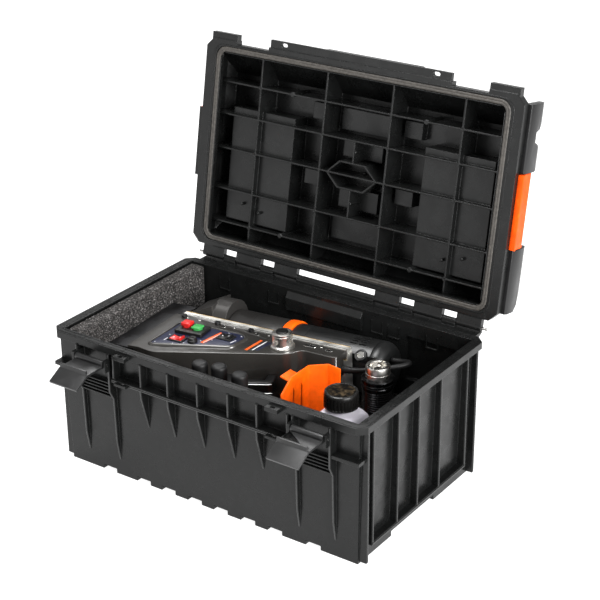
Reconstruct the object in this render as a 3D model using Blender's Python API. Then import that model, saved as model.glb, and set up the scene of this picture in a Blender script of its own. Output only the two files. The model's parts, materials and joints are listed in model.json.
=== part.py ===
"""Magnetic drill press packed in its transport case: the case with its hinged lid, the drill press lying on its side
in foam, and the loose tools around it. Metres, +Z up. The origin is the centre of the case's underside, +X runs along
the case and +Y points to the hinge."""

from math import atan, cos, pi, radians, sin, sqrt, tan

import bmesh
import bpy
from mathutils import Matrix, Vector

# ---- Driving dimensions of the case ----
RIM_X, RIM_Y = 0.280, 0.1686  # half sizes of the tub's rim
WALL_X, WALL_Y = 0.268, 0.1575  # half sizes of the tub's wall at the rim
DRAFT = 0.0035  # how far each wall leans in from rim to foot
WALL = 0.003
FLOOR_TOP = 0.012
TUB_TOP = 0.2235
LID_PLANE = 0.2245  # the closed lid's lower face
LID_RIM_TOP, LID_TOP = 0.238, 0.288
LID_X, LID_FRONT, LID_BACK = 0.2857, -0.1686, 0.171
HINGE_Y, HINGE_Z = 0.1864, 0.2289
LID_OPEN = radians(99.9)  # how far the lid stands open at rest
LATCH_X, LATCH_Y, LATCH_Z = 0.196, -0.1755, 0.198  # middle of each latch and its pin
LATCH_OPEN = radians(91)
RIB_X = (-0.157, -0.105, -0.0545, 0, 0.0545, 0.105, 0.157)
BED_TOP = 0.0975  # the foam bed under the tools

# ---- Driving dimensions of the drill press, in its own frame: x from the magnet's sole up the machine, y to the
# spindle side, z across the machine. It lies in the case with z up. ----
DRILL_PLACE = Vector((-0.2343, -0.0085, 0.1432))
DRILL_YAW, DRILL_TILT = radians(3.8), radians(2.2)
MAGNET_TALL, MAGNET_LONG, MAGNET_WIDE = 0.045, 0.170, 0.080
HALF = 0.045  # half width of the stand's casting
SPINDLE_Y = 0.093
MOTOR_R = 0.0425
HUB_X, HUB_Y = 0.2535, 0.011
FEED_MODULE, PINION_TEETH = 0.002, 18
PITCH_Y = HUB_Y + FEED_MODULE * PINION_TEETH / 2  # the rack's pitch line
GEAR_MODULE, SHAFT_DROP = 0.001, 0.021  # gearbox teeth, and how far the countershaft lies below the spindle
ARMATURE_TEETH, FIRST_TEETH, SECOND_TEETH, SPINDLE_TEETH = 10, 32, 11, 31
DRILL_FRAME = Matrix.Translation(DRILL_PLACE) @ Matrix.Rotation(DRILL_YAW, 4, "Z") @ Matrix.Rotation(-DRILL_TILT, 4, "Y")

# ---- Places of the small things on the stand ----
BUTTONS = {"stop_button": (0.0900, -0.0030), "start_button": (0.1100, -0.0050)}
ROCKERS = {"magnet_rocker": (0.0962, -0.0405), "mode_rocker": (0.1610, -0.0035)}
GIB_SCREW_X = (0.055, 0.118, 0.180)
FUSE = (0.1230, -0.0390)

# ---- Places of the loose things in the case ----
HANDLES = ((-0.0370, -0.1150), (-0.0070, -0.1080), (0.0330, -0.1120))
BOTTLE = (0.1950, -0.0920)
CHUCK = (0.1800, 0.0270)
GUARD_BEND = ((0.0945, -0.0980), (0.0945, -0.0270), (0.1170, -0.0070), (0.1405, -0.0110))  # the guard's outer face
GUARD_THICK = 0.0025

FINISHES = {
    "black_plastic": ((0.022, 0.023, 0.024), 0.45, 0.0),
    "dark_plastic": ((0.012, 0.012, 0.013), 0.5, 0.0),
    "orange_plastic": ((0.95, 0.19, 0.01), 0.4, 0.0),
    "foam": ((0.04, 0.04, 0.042), 0.95, 0.0),
    "seal_rubber": ((0.12, 0.11, 0.10), 0.6, 0.0),
    "steel": ((0.6, 0.59, 0.57), 0.28, 1.0),
    "grey_paint": ((0.11, 0.105, 0.10), 0.4, 0.3),
    "magnet_steel": ((0.05, 0.05, 0.052), 0.45, 0.6),
    "navy_panel": ((0.02, 0.025, 0.05), 0.4, 0.0),
    "red_plastic": ((0.7, 0.03, 0.03), 0.3, 0.0),
    "green_plastic": ((0.05, 0.4, 0.12), 0.3, 0.0),
    "brass": ((0.7, 0.5, 0.2), 0.3, 1.0),
    "copper": ((0.6, 0.3, 0.15), 0.4, 1.0),
    "grip_rubber": ((0.015, 0.015, 0.015), 0.6, 0.0),
    "white_plastic": ((0.75, 0.75, 0.8), 0.4, 0.0),
}


# ---- Shape helpers ----
def material(name):
    made = bpy.data.materials.get(name)
    if made:
        return made
    colour, rough, metal = FINISHES[name]
    made = bpy.data.materials.new(name)
    made.use_nodes = True
    shader = made.node_tree.nodes["Principled BSDF"]
    shader.inputs["Base Color"].default_value = (*colour, 1)
    shader.inputs["Roughness"].default_value = rough
    shader.inputs["Metallic"].default_value = metal
    return made


def solid(bm):
    """A temporary object from a closed bmesh, with its faces turned outwards."""
    bmesh.ops.recalc_face_normals(bm, faces=bm.faces)
    mesh = bpy.data.meshes.new("shape")
    bm.to_mesh(mesh)
    bm.free()
    shape = bpy.data.objects.new("shape", mesh)
    bpy.context.scene.collection.objects.link(shape)
    return shape


def box(x, y, z):
    """A block between two values on each axis."""
    bm = bmesh.new()
    bmesh.ops.create_cube(bm, size=1)
    for vert in bm.verts:
        for axis, (low, high) in enumerate((x, y, z)):
            vert.co[axis] = high if vert.co[axis] > 0 else low
    return solid(bm)


def prism(outline, low, high, axis="z"):
    """An outline extruded along an axis. The outline's two numbers are the other two axes, in x, y, z order."""
    place = {
        "x": lambda a, b, c: (c, a, b),
        "y": lambda a, b, c: (a, c, b),
        "z": lambda a, b, c: (a, b, c),
    }[axis]
    bm = bmesh.new()
    ends = [[bm.verts.new(place(a, b, c)) for a, b in outline] for c in (low, high)]
    bm.faces.new(ends[0])
    bm.faces.new(ends[1])
    for i in range(len(outline)):
        j = (i + 1) % len(outline)
        bm.faces.new((ends[0][i], ends[0][j], ends[1][j], ends[1][i]))
    return solid(bm)


def loft(levels):
    """A solid through outlines of equal length, each at its own height: (outline, z)."""
    bm = bmesh.new()
    rings = [[bm.verts.new((x, y, height)) for x, y in outline] for outline, height in levels]
    bm.faces.new(rings[0])
    bm.faces.new(rings[-1])
    for lower, upper in zip(rings, rings[1:]):
        for i in range(len(lower)):
            j = (i + 1) % len(lower)
            bm.faces.new((lower[i], lower[j], upper[j], upper[i]))
    return solid(bm)


def rectangle(half_x, low_y, high_y):
    return [(-half_x, low_y), (half_x, low_y), (half_x, high_y), (-half_x, high_y)]


def turned(profile, axis="z", centre=(0, 0), sides=24):
    """A turned solid. The profile is (radius, place along the axis) and starts and ends on the axis, or is a closed
    loop for a ring. The centre's two numbers are the other two axes, in x, y, z order."""
    bm = bmesh.new()
    put = {
        "x": lambda r, t, c: (c, centre[0] + r * cos(t), centre[1] + r * sin(t)),
        "y": lambda r, t, c: (centre[0] + r * cos(t), c, centre[1] + r * sin(t)),
        "z": lambda r, t, c: (centre[0] + r * cos(t), centre[1] + r * sin(t), c),
    }[axis]
    ring_shape = profile[0][0] > 0
    rows = []
    for radius, along in profile:
        if radius == 0:
            rows.append([bm.verts.new(put(0, 0, along))])
        else:
            rows.append([bm.verts.new(put(radius, 2 * pi * i / sides, along)) for i in range(sides)])
    pairs = list(zip(rows, rows[1:] + rows[:1])) if ring_shape else list(zip(rows, rows[1:]))
    for first, second in pairs:
        for i in range(sides):
            j = (i + 1) % sides
            if len(first) == 1 and len(second) == 1:
                continue
            if len(first) == 1:
                bm.faces.new((first[0], second[i], second[j]))
            elif len(second) == 1:
                bm.faces.new((first[i], first[j], second[0]))
            else:
                bm.faces.new((first[i], first[j], second[j], second[i]))
    return solid(bm)


def rod(radius, low, high, axis="z", centre=(0, 0), sides=20):
    return turned([(0, low), (radius, low), (radius, high), (0, high)], axis, centre, sides)


def ring(inner, outer, low, high, axis="z", centre=(0, 0), sides=24):
    return turned([(inner, low), (outer, low), (outer, high), (inner, high)], axis, centre, sides)


def chamfered(half_x, low_y, high_y, cut):
    """The outline of a rectangle with its four corners cut off."""
    return [
        (-half_x + cut, low_y), (half_x - cut, low_y), (half_x, low_y + cut), (half_x, high_y - cut),
        (half_x - cut, high_y), (-half_x + cut, high_y), (-half_x, high_y - cut), (-half_x, low_y + cut),
    ]


def rounded(half_x, low_y, high_y, radius, steps=3):
    """The outline of a rectangle with round corners."""
    corners = ((half_x, high_y, 0), (-half_x, high_y, 90), (-half_x, low_y, 180), (half_x, low_y, 270))
    outline = []
    for x, y, start in corners:
        cx = x - radius if x > 0 else x + radius
        cy = y - radius if y == high_y else y + radius
        for step in range(steps + 1):
            angle = radians(start + 90 * step / steps)
            outline.append((cx + radius * cos(angle), cy + radius * sin(angle)))
    return outline


def combine(first, others, operation):
    """Runs one exact Boolean for each of the other shapes and removes them."""
    for other in others:
        modifier = first.modifiers.new("combine", "BOOLEAN")
        modifier.operation = operation
        modifier.solver = "EXACT"
        modifier.object = other
        graph = bpy.context.evaluated_depsgraph_get()
        mesh = bpy.data.meshes.new_from_object(first.evaluated_get(graph))
        first.modifiers.clear()
        first.data = mesh
        bpy.data.objects.remove(other)
    return first


def join(first, *others):
    return combine(first, others, "UNION")


def cut(first, *others):
    return combine(first, others, "DIFFERENCE")


def pivot(name, place, parent=None, rotation=(0, 0, 0)):
    """An empty on a joint's axis, placed in the frame that its parent's shapes are modelled in."""
    made = bpy.data.objects.new(name, None)
    bpy.context.scene.collection.objects.link(made)
    made["place"] = tuple(place)
    made.parent = parent
    made.location = Vector(place) - Vector(parent["place"] if parent else (0, 0, 0))
    made.rotation_euler = rotation
    return made


def node(name, shape, finish, on=None):
    """Names a finished solid, gives it its material and hangs it on its joint's empty."""
    shape.name = name
    shape.data.name = name
    shape.data.materials.clear()
    shape.data.materials.append(material(finish))
    shape.data.set_sharp_from_angle(angle=radians(35))
    if on:
        shape.data.transform(Matrix.Translation(-Vector(on["place"])))
        shape.parent = on
    return shape


def both(x, y, z):
    """The same block on the right and on the left of the case."""
    return [box(x, y, z), box((-x[1], -x[0]), y, z)]


def gear_outline(teeth, module, centre, tooth_at, slack, addendum=1.0):
    """A gear's outline around a centre. One tooth points at the angle tooth_at; slack thins each flank."""
    pitch_r = teeth * module / 2
    base_r = pitch_r * cos(radians(20))
    low_r, high_r = pitch_r - 1.25 * module, pitch_r + addendum * module
    half = pi / (2 * teeth) - slack / pitch_r

    def width_at(radius):
        if radius <= base_r:
            radius = base_r
        roll = sqrt((radius / base_r) ** 2 - 1)
        return half + (tan(radians(20)) - radians(20)) - (roll - atan(roll))

    flank = [(low_r, width_at(base_r)), (max(base_r, low_r + module / 10), width_at(base_r)), (high_r, width_at(high_r))]
    outline = []
    for tooth in range(teeth):
        middle = tooth_at + 2 * pi * tooth / teeth
        for radius, angle in [(r, -a) for r, a in flank] + [(r, a) for r, a in reversed(flank)]:
            outline.append((centre[0] + radius * cos(middle + angle), centre[1] + radius * sin(middle + angle)))
    return outline


def tube(points, radius, sides=8):
    """A round cord through the points, with rings that follow the path."""
    path = [Vector(point) for point in points]
    bm = bmesh.new()
    rings = []
    for i, here in enumerate(path):
        along = (path[min(i + 1, len(path) - 1)] - path[max(i - 1, 0)]).normalized()
        side = along.cross(Vector((0, 0, 1))).normalized()
        rise = side.cross(along)
        turn = [2 * pi * k / sides for k in range(sides)]
        rings.append([bm.verts.new(here + radius * (cos(t) * side + sin(t) * rise)) for t in turn])
    bm.faces.new(rings[0])
    bm.faces.new(rings[-1])
    for first, second in zip(rings, rings[1:]):
        for k in range(sides):
            j = (k + 1) % sides
            bm.faces.new((first[k], first[j], second[j], second[k]))
    return solid(bm)


# ---- The case's tub ----
def case_tub():
    foot_x, foot_y = WALL_X - DRAFT, WALL_Y - DRAFT
    tub = loft([
        (rectangle(foot_x, -foot_y, foot_y), 0),
        (rectangle(WALL_X, -WALL_Y, WALL_Y), TUB_TOP),
    ])
    tub = join(tub, prism(chamfered(RIM_X, -RIM_Y, RIM_Y, 0.013), 0.2125, TUB_TOP))
    front = -WALL_Y + 0.002
    parts = [box((-0.159, 0.159), (-0.172, front), (0.170, 0.175))]
    parts += [box((x - 0.0018, x + 0.0018), (-0.170, front), (0.1745, 0.213)) for x in RIB_X]
    gusset = [(front, 0.171), (-0.1712, 0.171), (-0.1702, 0.156), (front - 0.0005, 0.102)]
    parts += [prism(gusset, x - 0.0018, x + 0.0018, "x") for x in RIB_X[1:-1]]
    fin = [
        (front, 0.2135), (-0.1702, 0.2135), (-0.1702, 0.150), (-0.1625, 0.135), (-0.1605, 0.060), (-0.1548, 0.027),
        (-0.1525, 0.027),
    ]
    parts += [prism(fin, x - 0.0018, x + 0.0018, "x") for x in (-0.2275, -0.1662, 0.1662, 0.2275)]
    for z in (0.1370, 0.1425, 0.1480, 0.1535, 0.1590):
        parts += both((0.1665, 0.2270), (-0.1635, front), (z, z + 0.0018))
    for low, high in ((0.1635, 0.1685), (0.2235, 0.2285)):
        parts += both((low, high), (-0.180, front), (0.186, 0.205))
    parts += both((0.2300, 0.2745), (-0.1695, -0.145), (0.166, 0.1715))
    for low, high in ((0.2135, 0.2195), (0.1705, 0.1745)):
        parts += both((0.126, 0.148), (-0.180, -0.165), (low, high))
    for y in (-0.149, 0.149):
        parts += both((0.262, 0.277), (y - 0.0025, y + 0.0025), (0.004, 0.2135))
    for y in (-0.135, -0.071, -0.016, 0.045, 0.121):
        parts += both((0.262, 0.2765), (y - 0.0018, y + 0.0018), (0.030, 0.2135))
    parts += both((0.262, 0.2765), (-0.1368, 0.1228), (0.026, 0.031))
    for x in (-0.105, -0.0545, 0, 0.0545, 0.105, -0.200, 0.200):
        parts.append(box((x - 0.0018, x + 0.0018), (WALL_Y - 0.004, 0.168), (0.030, 0.2135)))
    parts.append(box((0.147, 0.2485), (0.150, 0.1635), (0.124, 0.202)))
    ledge = [(0.164, 0.2135), (0.1780, 0.2135), (0.1912, 0.2195), (0.1912, 0.2222), (0.164, 0.2222)]
    parts += [prism(ledge, -0.2600, -0.0700, "x"), prism(ledge, 0.0700, 0.2600, "x")]
    tub = join(tub, *parts)
    inside = loft([
        (rectangle(foot_x - WALL - 0.0005, -foot_y + WALL, foot_y - WALL), FLOOR_TOP),
        (rectangle(WALL_X - WALL - 0.001, -WALL_Y + WALL, WALL_Y - WALL), TUB_TOP + 0.01),
    ])
    cuts = [inside]
    cuts += both((0.133, 0.141), (-0.1775, -0.1727), (0.16, 0.23))
    for x in (0.189, 0.122, 0.074, 0.024):
        cuts += both((x - 0.013, x + 0.013), (-0.17, -0.1452), (-0.001, 0.008))
    cuts += both((0.256, 0.29), (-0.066, 0.052), (-0.001, 0.008))
    cuts.append(rod(0.0023, -0.24, 0.24, "x", (LATCH_Y, LATCH_Z), 12))
    cuts.append(box((0.150, 0.2455), (0.140, 0.1603), (0.127, 0.199)))
    tub = cut(tub, *cuts)
    tub = join(tub, prism([(0.1560, 0.2210), (0.1487, 0.2080), (0.1487, 0.1880), (0.1550, 0.1840)], -0.071, 0.071, "x"))
    arm = [
        (0.164, 0.2135), (0.180, 0.2135), (0.1905, 0.2265), (0.1845, 0.2330), (0.1805, 0.2270), (0.1800, 0.2222),
        (0.164, 0.2222),
    ]
    knuckles = [(-0.0725, 0.0725)]
    for low, high in ((0.1195, 0.1435), (0.1955, 0.2185)):
        knuckles += [(low, high), (-high, -low)]
    for low, high in knuckles:
        tub = join(tub, prism(arm, low + 0.0002, high - 0.0002, "x"))
        tub = join(tub, rod(0.005, low, high, "x", (HINGE_Y, HINGE_Z), 14))
    return cut(tub, rod(0.0024, -0.28, 0.28, "x", (HINGE_Y, HINGE_Z), 12))


# ---- The lid, modelled closed ----
def lid_shell():
    shell = loft([
        (rectangle(0.279, -0.150, 0.160), LID_PLANE),
        (rectangle(0.279, -0.150, 0.160), 0.252),
        (rectangle(0.2775, -0.131, 0.159), 0.270),
        (rectangle(0.268, -0.112, 0.142), LID_TOP),
    ])
    shell = join(shell, prism(chamfered(LID_X, LID_FRONT, LID_BACK, 0.013), LID_PLANE, LID_RIM_TOP))
    parts = both((0.2270, 0.2765), (-0.178, -0.160), (0.2255, 0.236))
    parts.append(box((-0.163, 0.163), (-0.181, -0.160), (0.2262, 0.2320)))
    parts += both((0.0885, 0.0985), (-0.1745, -0.146), (0.2370, 0.2565))
    parts.append(box((-0.2949, -0.2840), (-0.0525, 0.0605), (0.2295, 0.2328)))
    shell = join(shell, *parts)
    shell = cut(shell, prism(rectangle(0.2555, -0.1475, 0.1515), 0.220, 0.2335), loft([
        (rectangle(0.2758, -0.1468, 0.1568), 0.2325),
        (rectangle(0.2758, -0.1468, 0.1568), 0.251),
        (rectangle(0.2743, -0.1278, 0.1558), 0.2685),
        (rectangle(0.2650, -0.1092, 0.1392), 0.285),
    ]))
    parts = both((0.120, 0.240), (-0.060, 0.125), (0.250, 0.2865))
    along = [
        (-0.1482, 0.239), (0.1582, 0.239), (0.1582, 0.266), (0.141, 0.2865), (-0.111, 0.2865), (-0.1482, 0.2518),
    ]
    across = [
        (-0.2772, 0.239), (0.2772, 0.239), (0.2772, 0.267), (0.2665, 0.2865), (-0.2665, 0.2865), (-0.2772, 0.267),
    ]
    parts += [prism(along, x - 0.0013, x + 0.0013, "x") for x in (-0.184, -0.060, 0.060, 0.184)]
    parts += [prism(across, y - 0.0013, y + 0.0013, "y") for y in (-0.100, -0.048, 0.008, 0.075, 0.130)]
    parts += [rod(0.0042, 0.2385, 0.2866, "z", (x, y), 8) for x in (-0.122, 0.122) for y in (-0.100, 0.130)]
    for low, high, near, far, depth in (
        (-0.046, 0.046, -0.0905, -0.0560, 0.272), (-0.036, 0.036, -0.0440, -0.0160, 0.268),
        (-0.036, 0.036, 0.0330, 0.0660, 0.268), (-0.046, 0.046, 0.0840, 0.1200, 0.272),
    ):
        parts.append(box((low, high), (near, far), (depth, 0.2866)))
    for near, far, depth in ((-0.0905, -0.0640, 0.270), (0.0160, 0.0400, 0.262)):
        parts += both((0.0690, 0.1000), (near, far), (depth, 0.2866))
    shell = join(shell, *parts)
    outer = [(-0.047, 0.0085), (-0.024, -0.0135), (0.024, -0.0135), (0.047, 0.0085), (0.024, 0.0305), (-0.024, 0.0305)]
    inner = [(x * 0.93, 0.0085 + (y - 0.0085) * 0.88) for x, y in outer]
    shell = join(shell, cut(prism(outer, 0.2395, 0.2868), prism(inner, 0.238, 0.2745)))
    cuts = both((0.1235, 0.2365), (-0.0565, 0.1215), (0.2535, 0.30))
    cuts += both((0.1650, 0.2268), (-0.19, -0.1628), (0.22, 0.24))
    for side in (-1, 1):
        hole = [(side * 0.137 + a, b) for a, b in rounded(0.0062, -0.1787, -0.1725, 0.0030, 2)]
        cuts.append(prism(hole, 0.22, 0.236))
    cuts.append(cut(
        prism(rounded(0.2664, -0.1584, 0.1624, 0.018), 0.220, 0.2280),
        prism(rounded(0.2567, -0.1487, 0.1527, 0.012), 0.219, 0.2290),
    ))
    cuts += [rod(0.0034, *sorted((side * 0.085, side * 0.0972)), "x", (-0.168, 0.2495), 12) for side in (-1, 1)]
    shell = cut(shell, *cuts)
    arm = [(0.163, 0.2262), (0.1864, 0.2242), (0.1864, 0.2335), (0.163, 0.2335)]
    for low, high in ((0.0735, 0.1185), (0.1445, 0.1945), (0.2195, 0.262)):
        for a, b in ((low, high), (-high, -low)):
            shell = join(shell, prism(arm, a + 0.0002, b - 0.0002, "x"))
            shell = join(shell, rod(0.005, a, b, "x", (HINGE_Y, HINGE_Z), 14))
    return cut(shell, rod(0.0024, -0.28, 0.28, "x", (HINGE_Y, HINGE_Z), 12))


def lid_gasket():
    outer = prism(rounded(0.2661, -0.1581, 0.1621, 0.0177), 0.2238, 0.2277)
    return cut(outer, prism(rounded(0.2570, -0.1490, 0.1530, 0.0123), 0.219, 0.230))


def side_frame(side):
    """The black frame on the lid's end wall that carries the side handle's two pins."""
    def x(low, high):
        return (low, high) if side > 0 else (-high, -low)

    shape = box(x(0.2793, 0.2825), (-0.155, 0.160), (0.2386, 0.2830))
    block = [(0.2810, 0.2386), (0.2905, 0.2386), (0.2927, 0.2430), (0.2927, 0.2700), (0.2880, 0.2835), (0.2810, 0.2835)]
    block = [(side * a, b) for a, b in block]
    shape = join(shape, prism(block, -0.155, -0.0535, "y"), prism(block, 0.0615, 0.160, "y"))
    waist = prism([(-0.1250, 0.29), (-0.1130, 0.2610), (-0.0980, 0.2610), (-0.0850, 0.29)], *x(0.27, 0.30), "x")
    corner = prism([(0.1340, 0.2840), (0.1610, 0.2610), (0.17, 0.29), (0.1340, 0.29)], *x(0.27, 0.30), "x")
    shape = cut(shape, waist, corner)
    for low, high in ((-0.0625, -0.052), (0.060, 0.0705)):
        shape = cut(shape, rod(0.0023, low, high, "y", (side * 0.2890, 0.2610), 12))
    return shape


def side_handle(side):
    bar = [
        (0.2862, 0.2335), (0.2950, 0.2335), (0.2950, 0.2380), (0.2925, 0.2425), (0.2925, 0.2620), (0.2905, 0.2645),
        (0.2865, 0.2645),
    ]
    shape = prism([(side * a, b) for a, b in bar], -0.0523, 0.0603, "y")
    return join(shape, rod(0.0019, -0.0610, 0.0690, "y", (side * 0.2890, 0.2610), 12))


def carry_handle():
    grip = [
        (-0.1735, 0.2660), (-0.1638, 0.2660), (-0.1620, 0.2690), (-0.1620, 0.2775), (-0.1645, 0.2800),
        (-0.1725, 0.2800), (-0.1750, 0.2775), (-0.1750, 0.2680),
    ]
    shape = prism(grip, -0.0865, 0.0865, "x")
    for side in (-1, 1):
        x = sorted((side * 0.0785, side * 0.0865))
        arm = box(x, (-0.1725, -0.1635), (0.2440, 0.2700))
        shape = join(shape, arm, rod(0.003, *sorted((side * 0.080, side * 0.0965)), "x", (-0.168, 0.2495), 12))
    return shape


def latch(side):
    """A latch, modelled closed: a barrel on the pin, an arm with a hook over the lid's catch, and a tip bent outwards
    for the fingers."""
    low, high = sorted((side * (LATCH_X - 0.0265), side * (LATCH_X + 0.0265)))
    shape = box((low, high), (-0.1816, -0.1778), (0.1990, 0.2370))
    tip = [(-0.1814, 0.2345), (-0.1780, 0.2368), (-0.1911, 0.2605), (-0.1945, 0.2587)]
    shape = join(shape, prism(tip, low, high, "x"))
    shape = join(shape, box((low + 0.0015, high - 0.0015), (-0.1800, -0.1708), (0.2333, 0.2367)))
    shape = join(shape, rod(0.0052, low, high, "x", (LATCH_Y, LATCH_Z), 16))
    return cut(shape, rod(0.0023, low - 0.01, high + 0.01, "x", (LATCH_Y, LATCH_Z), 12))


# ---- The drill press, in its own frame ----
def magnet_base():
    half = MAGNET_LONG / 2
    block = box((0, MAGNET_TALL), (-half, half), (-MAGNET_WIDE / 2, MAGNET_WIDE / 2))
    pocket = cut(
        prism(rounded(0.070, -0.030, 0.030, 0.010, 2), 0.010, 0.050, "x"),
        prism(rounded(0.050, -0.012, 0.012, 0.006, 2), 0.005, 0.055, "x"),
    )
    return cut(block, pocket, box((-0.001, 0.005), (-0.09, 0.09), (-0.002, 0.002)))


def magnet_coil():
    outer = prism(rounded(0.0697, -0.0297, 0.0297, 0.0097, 2), 0.0103, 0.0445, "x")
    return cut(outer, prism(rounded(0.0503, -0.0123, 0.0123, 0.0063, 2), 0.005, 0.055, "x"))


def slot_flank(y):
    """Half the dovetail slot's width at a height above the magnet's length line."""
    return 0.034 - 0.606 * (y - 0.0335)


def rocker_holes(floor):
    return [box((x - 0.0113, x + 0.0113), (y - 0.0078, y + 0.0078), (floor, 0.050)) for x, y in ROCKERS.values()]


def stand_housing():
    outline = [
        (0.0453, 0.0425), (0.0453, -0.0840), (0.0830, -0.0910), (0.2715, -0.0075), (0.2835, 0.0145), (0.3450, 0.0130),
        (0.3450, 0.0425),
    ]
    lip = [(0.0365, 0.0425), (0.0365, -0.0880), (0.0600, -0.0850), (0.0600, 0.0425)]
    shape = join(prism(outline, -HALF, HALF), prism(lip, 0.0410, HALF))
    cavity = [(0.0497, 0.0290), (0.0497, -0.0798), (0.0822, -0.0860), (0.2700, -0.0045), (0.2790, 0.0145), (0.2790, 0.0290)]
    slot = [
        (0.0335, -slot_flank(0.0335)), (0.0335, slot_flank(0.0335) + 0.0025), (0.0480, slot_flank(0.0480) + 0.0025),
        (0.0480, -slot_flank(0.0480)),
    ]
    cuts = [prism(cavity, -0.050, 0.0410), prism(slot, 0.04, 0.35, "x")]
    cuts.append(box((0.044, 0.35), (0.0262, 0.0345), (-0.0095, 0.0095)))
    cuts.append(rod(0.0103, 0.030, 0.060, "z", (HUB_X, HUB_Y)))
    cuts += [rod(0.0026, 0.0330, 0.050, "z", (x, 0.0370), 10) for x in GIB_SCREW_X]
    cuts += rocker_holes(0.0425)
    return cut(shape, *cuts)


def stand_cover():
    outline = [(0.0501, 0.0262), (0.0501, -0.0793), (0.0824, -0.0853), (0.2680, -0.0033), (0.2784, 0.0147), (0.2784, 0.0262)]
    plate = prism(outline, -0.0447, -0.0417)
    posts = [rod(0.003, -0.0425, -0.0353, "z", (x, y), 10) for x, y in ((0.066, -0.052), (0.124, -0.052), (0.066, -0.006))]
    return join(plate, *posts, ring(0.0101, 0.0140, -0.0425, -0.0300, "z", (HUB_X, HUB_Y), 20))


def control_panel():
    outline = [(0.0655, -0.0690), (0.1820, -0.0240), (0.1868, 0.0080), (0.1770, 0.0160), (0.0670, 0.0140)]
    return cut(prism(outline, 0.0453, 0.0475), *rocker_holes(0.040))


def switch_box():
    outline = [(0.0770, 0.0090), (0.0780, -0.0235), (0.1275, -0.0225), (0.1245, 0.0100)]
    holes = [rod(0.0088, 0.0470, 0.060, "z", place, 20) for place in BUTTONS.values()]
    return cut(prism(outline, 0.0478, 0.0530), *holes)


def button(name):
    return turned([(0, 0.0505), (0.0084, 0.0505), (0.0084, 0.0548), (0.0074, 0.0558), (0, 0.0558)], "z", BUTTONS[name], 20)


def rocker(name):
    x, y = ROCKERS[name]
    side = [(x - 0.0100, 0.0455), (x + 0.0100, 0.0455), (x + 0.0100, 0.0515), (x, 0.0495), (x - 0.0100, 0.0515)]
    return prism(side, y - 0.0068, y + 0.0068, "y")


def gib_strip():
    near, far = 0.0347, 0.0420
    outline = [
        (near, slot_flank(near)), (near, slot_flank(near) + 0.0020), (far, slot_flank(far) + 0.0020), (far, slot_flank(far)),
    ]
    return prism(outline, 0.0460, 0.3445, "x")


def gib_screw(x):
    return turned([(0, 0.0358), (0.0022, 0.0358), (0.0022, 0.0453), (0.0045, 0.0453), (0.0045, 0.0490), (0, 0.0490)],
                  "z", (x, 0.0370), 12)


def rear_handle():
    """The grip behind the stand, drawn along the sloping rear wall (s) and out from it (n)."""
    shape = [
        (0, 0.0004), (0.013, 0.0004), (0.016, 0.017), (0.060, 0.017), (0.063, 0.0004), (0.076, 0.0004), (0.074, 0.024),
        (0.067, 0.030), (0.009, 0.030), (0.002, 0.024),
    ]
    start, along, out = Vector((0.187, -0.0449)), Vector((0.9142, 0.4052)), Vector((0.4052, -0.9142))
    return prism([tuple(start + s * along + n * out) for s, n in shape], -0.011, 0.011)


def control_board():
    return box((0.060, 0.131), (-0.058, 0.001), (-0.0350, -0.0334))


def feed_pinion_shaft():
    gear = prism(gear_outline(PINION_TEETH, FEED_MODULE, (HUB_X, HUB_Y), pi / 2, 0.00012), -0.0085, 0.0085)
    return join(gear, rod(0.0098, -0.0410, 0.0620, "z", (HUB_X, HUB_Y)))


def feed_hub():
    hub = turned([
        (0, 0.0453), (0.0180, 0.0453), (0.0180, 0.0490), (0.0158, 0.0512), (0.0155, 0.0530), (0.0155, 0.0695),
        (0.0140, 0.0710), (0, 0.0710),
    ], "z", (HUB_X, HUB_Y), 28)
    bores = [rod(0.0101, 0.040, 0.0624, "z", (HUB_X, HUB_Y)), rod(0.0090, 0.0660, 0.080, "z", (HUB_X, HUB_Y), 16)]
    for turn in (20, 140, 260):
        bore = rod(0.0046, 0.0125, 0.030, "x", (0, 0), 12)
        bore.data.transform(Matrix.Translation((HUB_X, HUB_Y, 0.0590)) @ Matrix.Rotation(radians(turn), 4, "Z"))
        bores.append(bore)
    return cut(hub, *bores)


def hub_cap():
    return turned([(0, 0.0663), (0.0087, 0.0663), (0.0087, 0.0716), (0.0075, 0.0726), (0, 0.0726)], "z", (HUB_X, HUB_Y), 20)


def slide_bar():
    section = [
        (0.0430, -0.0462), (0.0550, -0.0462), (0.0580, -0.0400), (0.0580, 0.0400), (0.0550, 0.0462), (0.0430, 0.0462),
    ]
    plate = prism(section, 0.0475, 0.3460, "x")
    near, far = 0.0341, 0.0520
    neck = [
        (near, 0.0005 - slot_flank(near)), (near, slot_flank(near) - 0.0005), (far, slot_flank(far) - 0.0005),
        (far, 0.0005 - slot_flank(far)),
    ]
    bar = join(plate, prism(neck, 0.0475, 0.3460, "x"))
    return cut(bar, box((0.1330, 0.2700), (0.030, 0.0395), (-0.0085, 0.0085)))


def feed_rack():
    """The rack in the slide's neck, with a gap between two teeth right over the pinion at rest."""
    pitch = pi * FEED_MODULE
    slack = 0.00012
    tip, root = PITCH_Y - FEED_MODULE, PITCH_Y + 1.25 * FEED_MODULE
    rise = tan(radians(20))
    outline = []
    for tooth in range(-18, 1):
        middle = HUB_X + (tooth + 0.5) * pitch
        wide = pitch / 4 - slack + (root - PITCH_Y) * rise
        slim = pitch / 4 - slack - (PITCH_Y - tip) * rise
        outline += [(middle - wide, root), (middle - slim, tip), (middle + slim, tip), (middle + wide, root)]
    outline += [(outline[-1][0], 0.0391), (outline[0][0], 0.0391)]
    return prism(outline, -0.0080, 0.0080)


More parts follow.
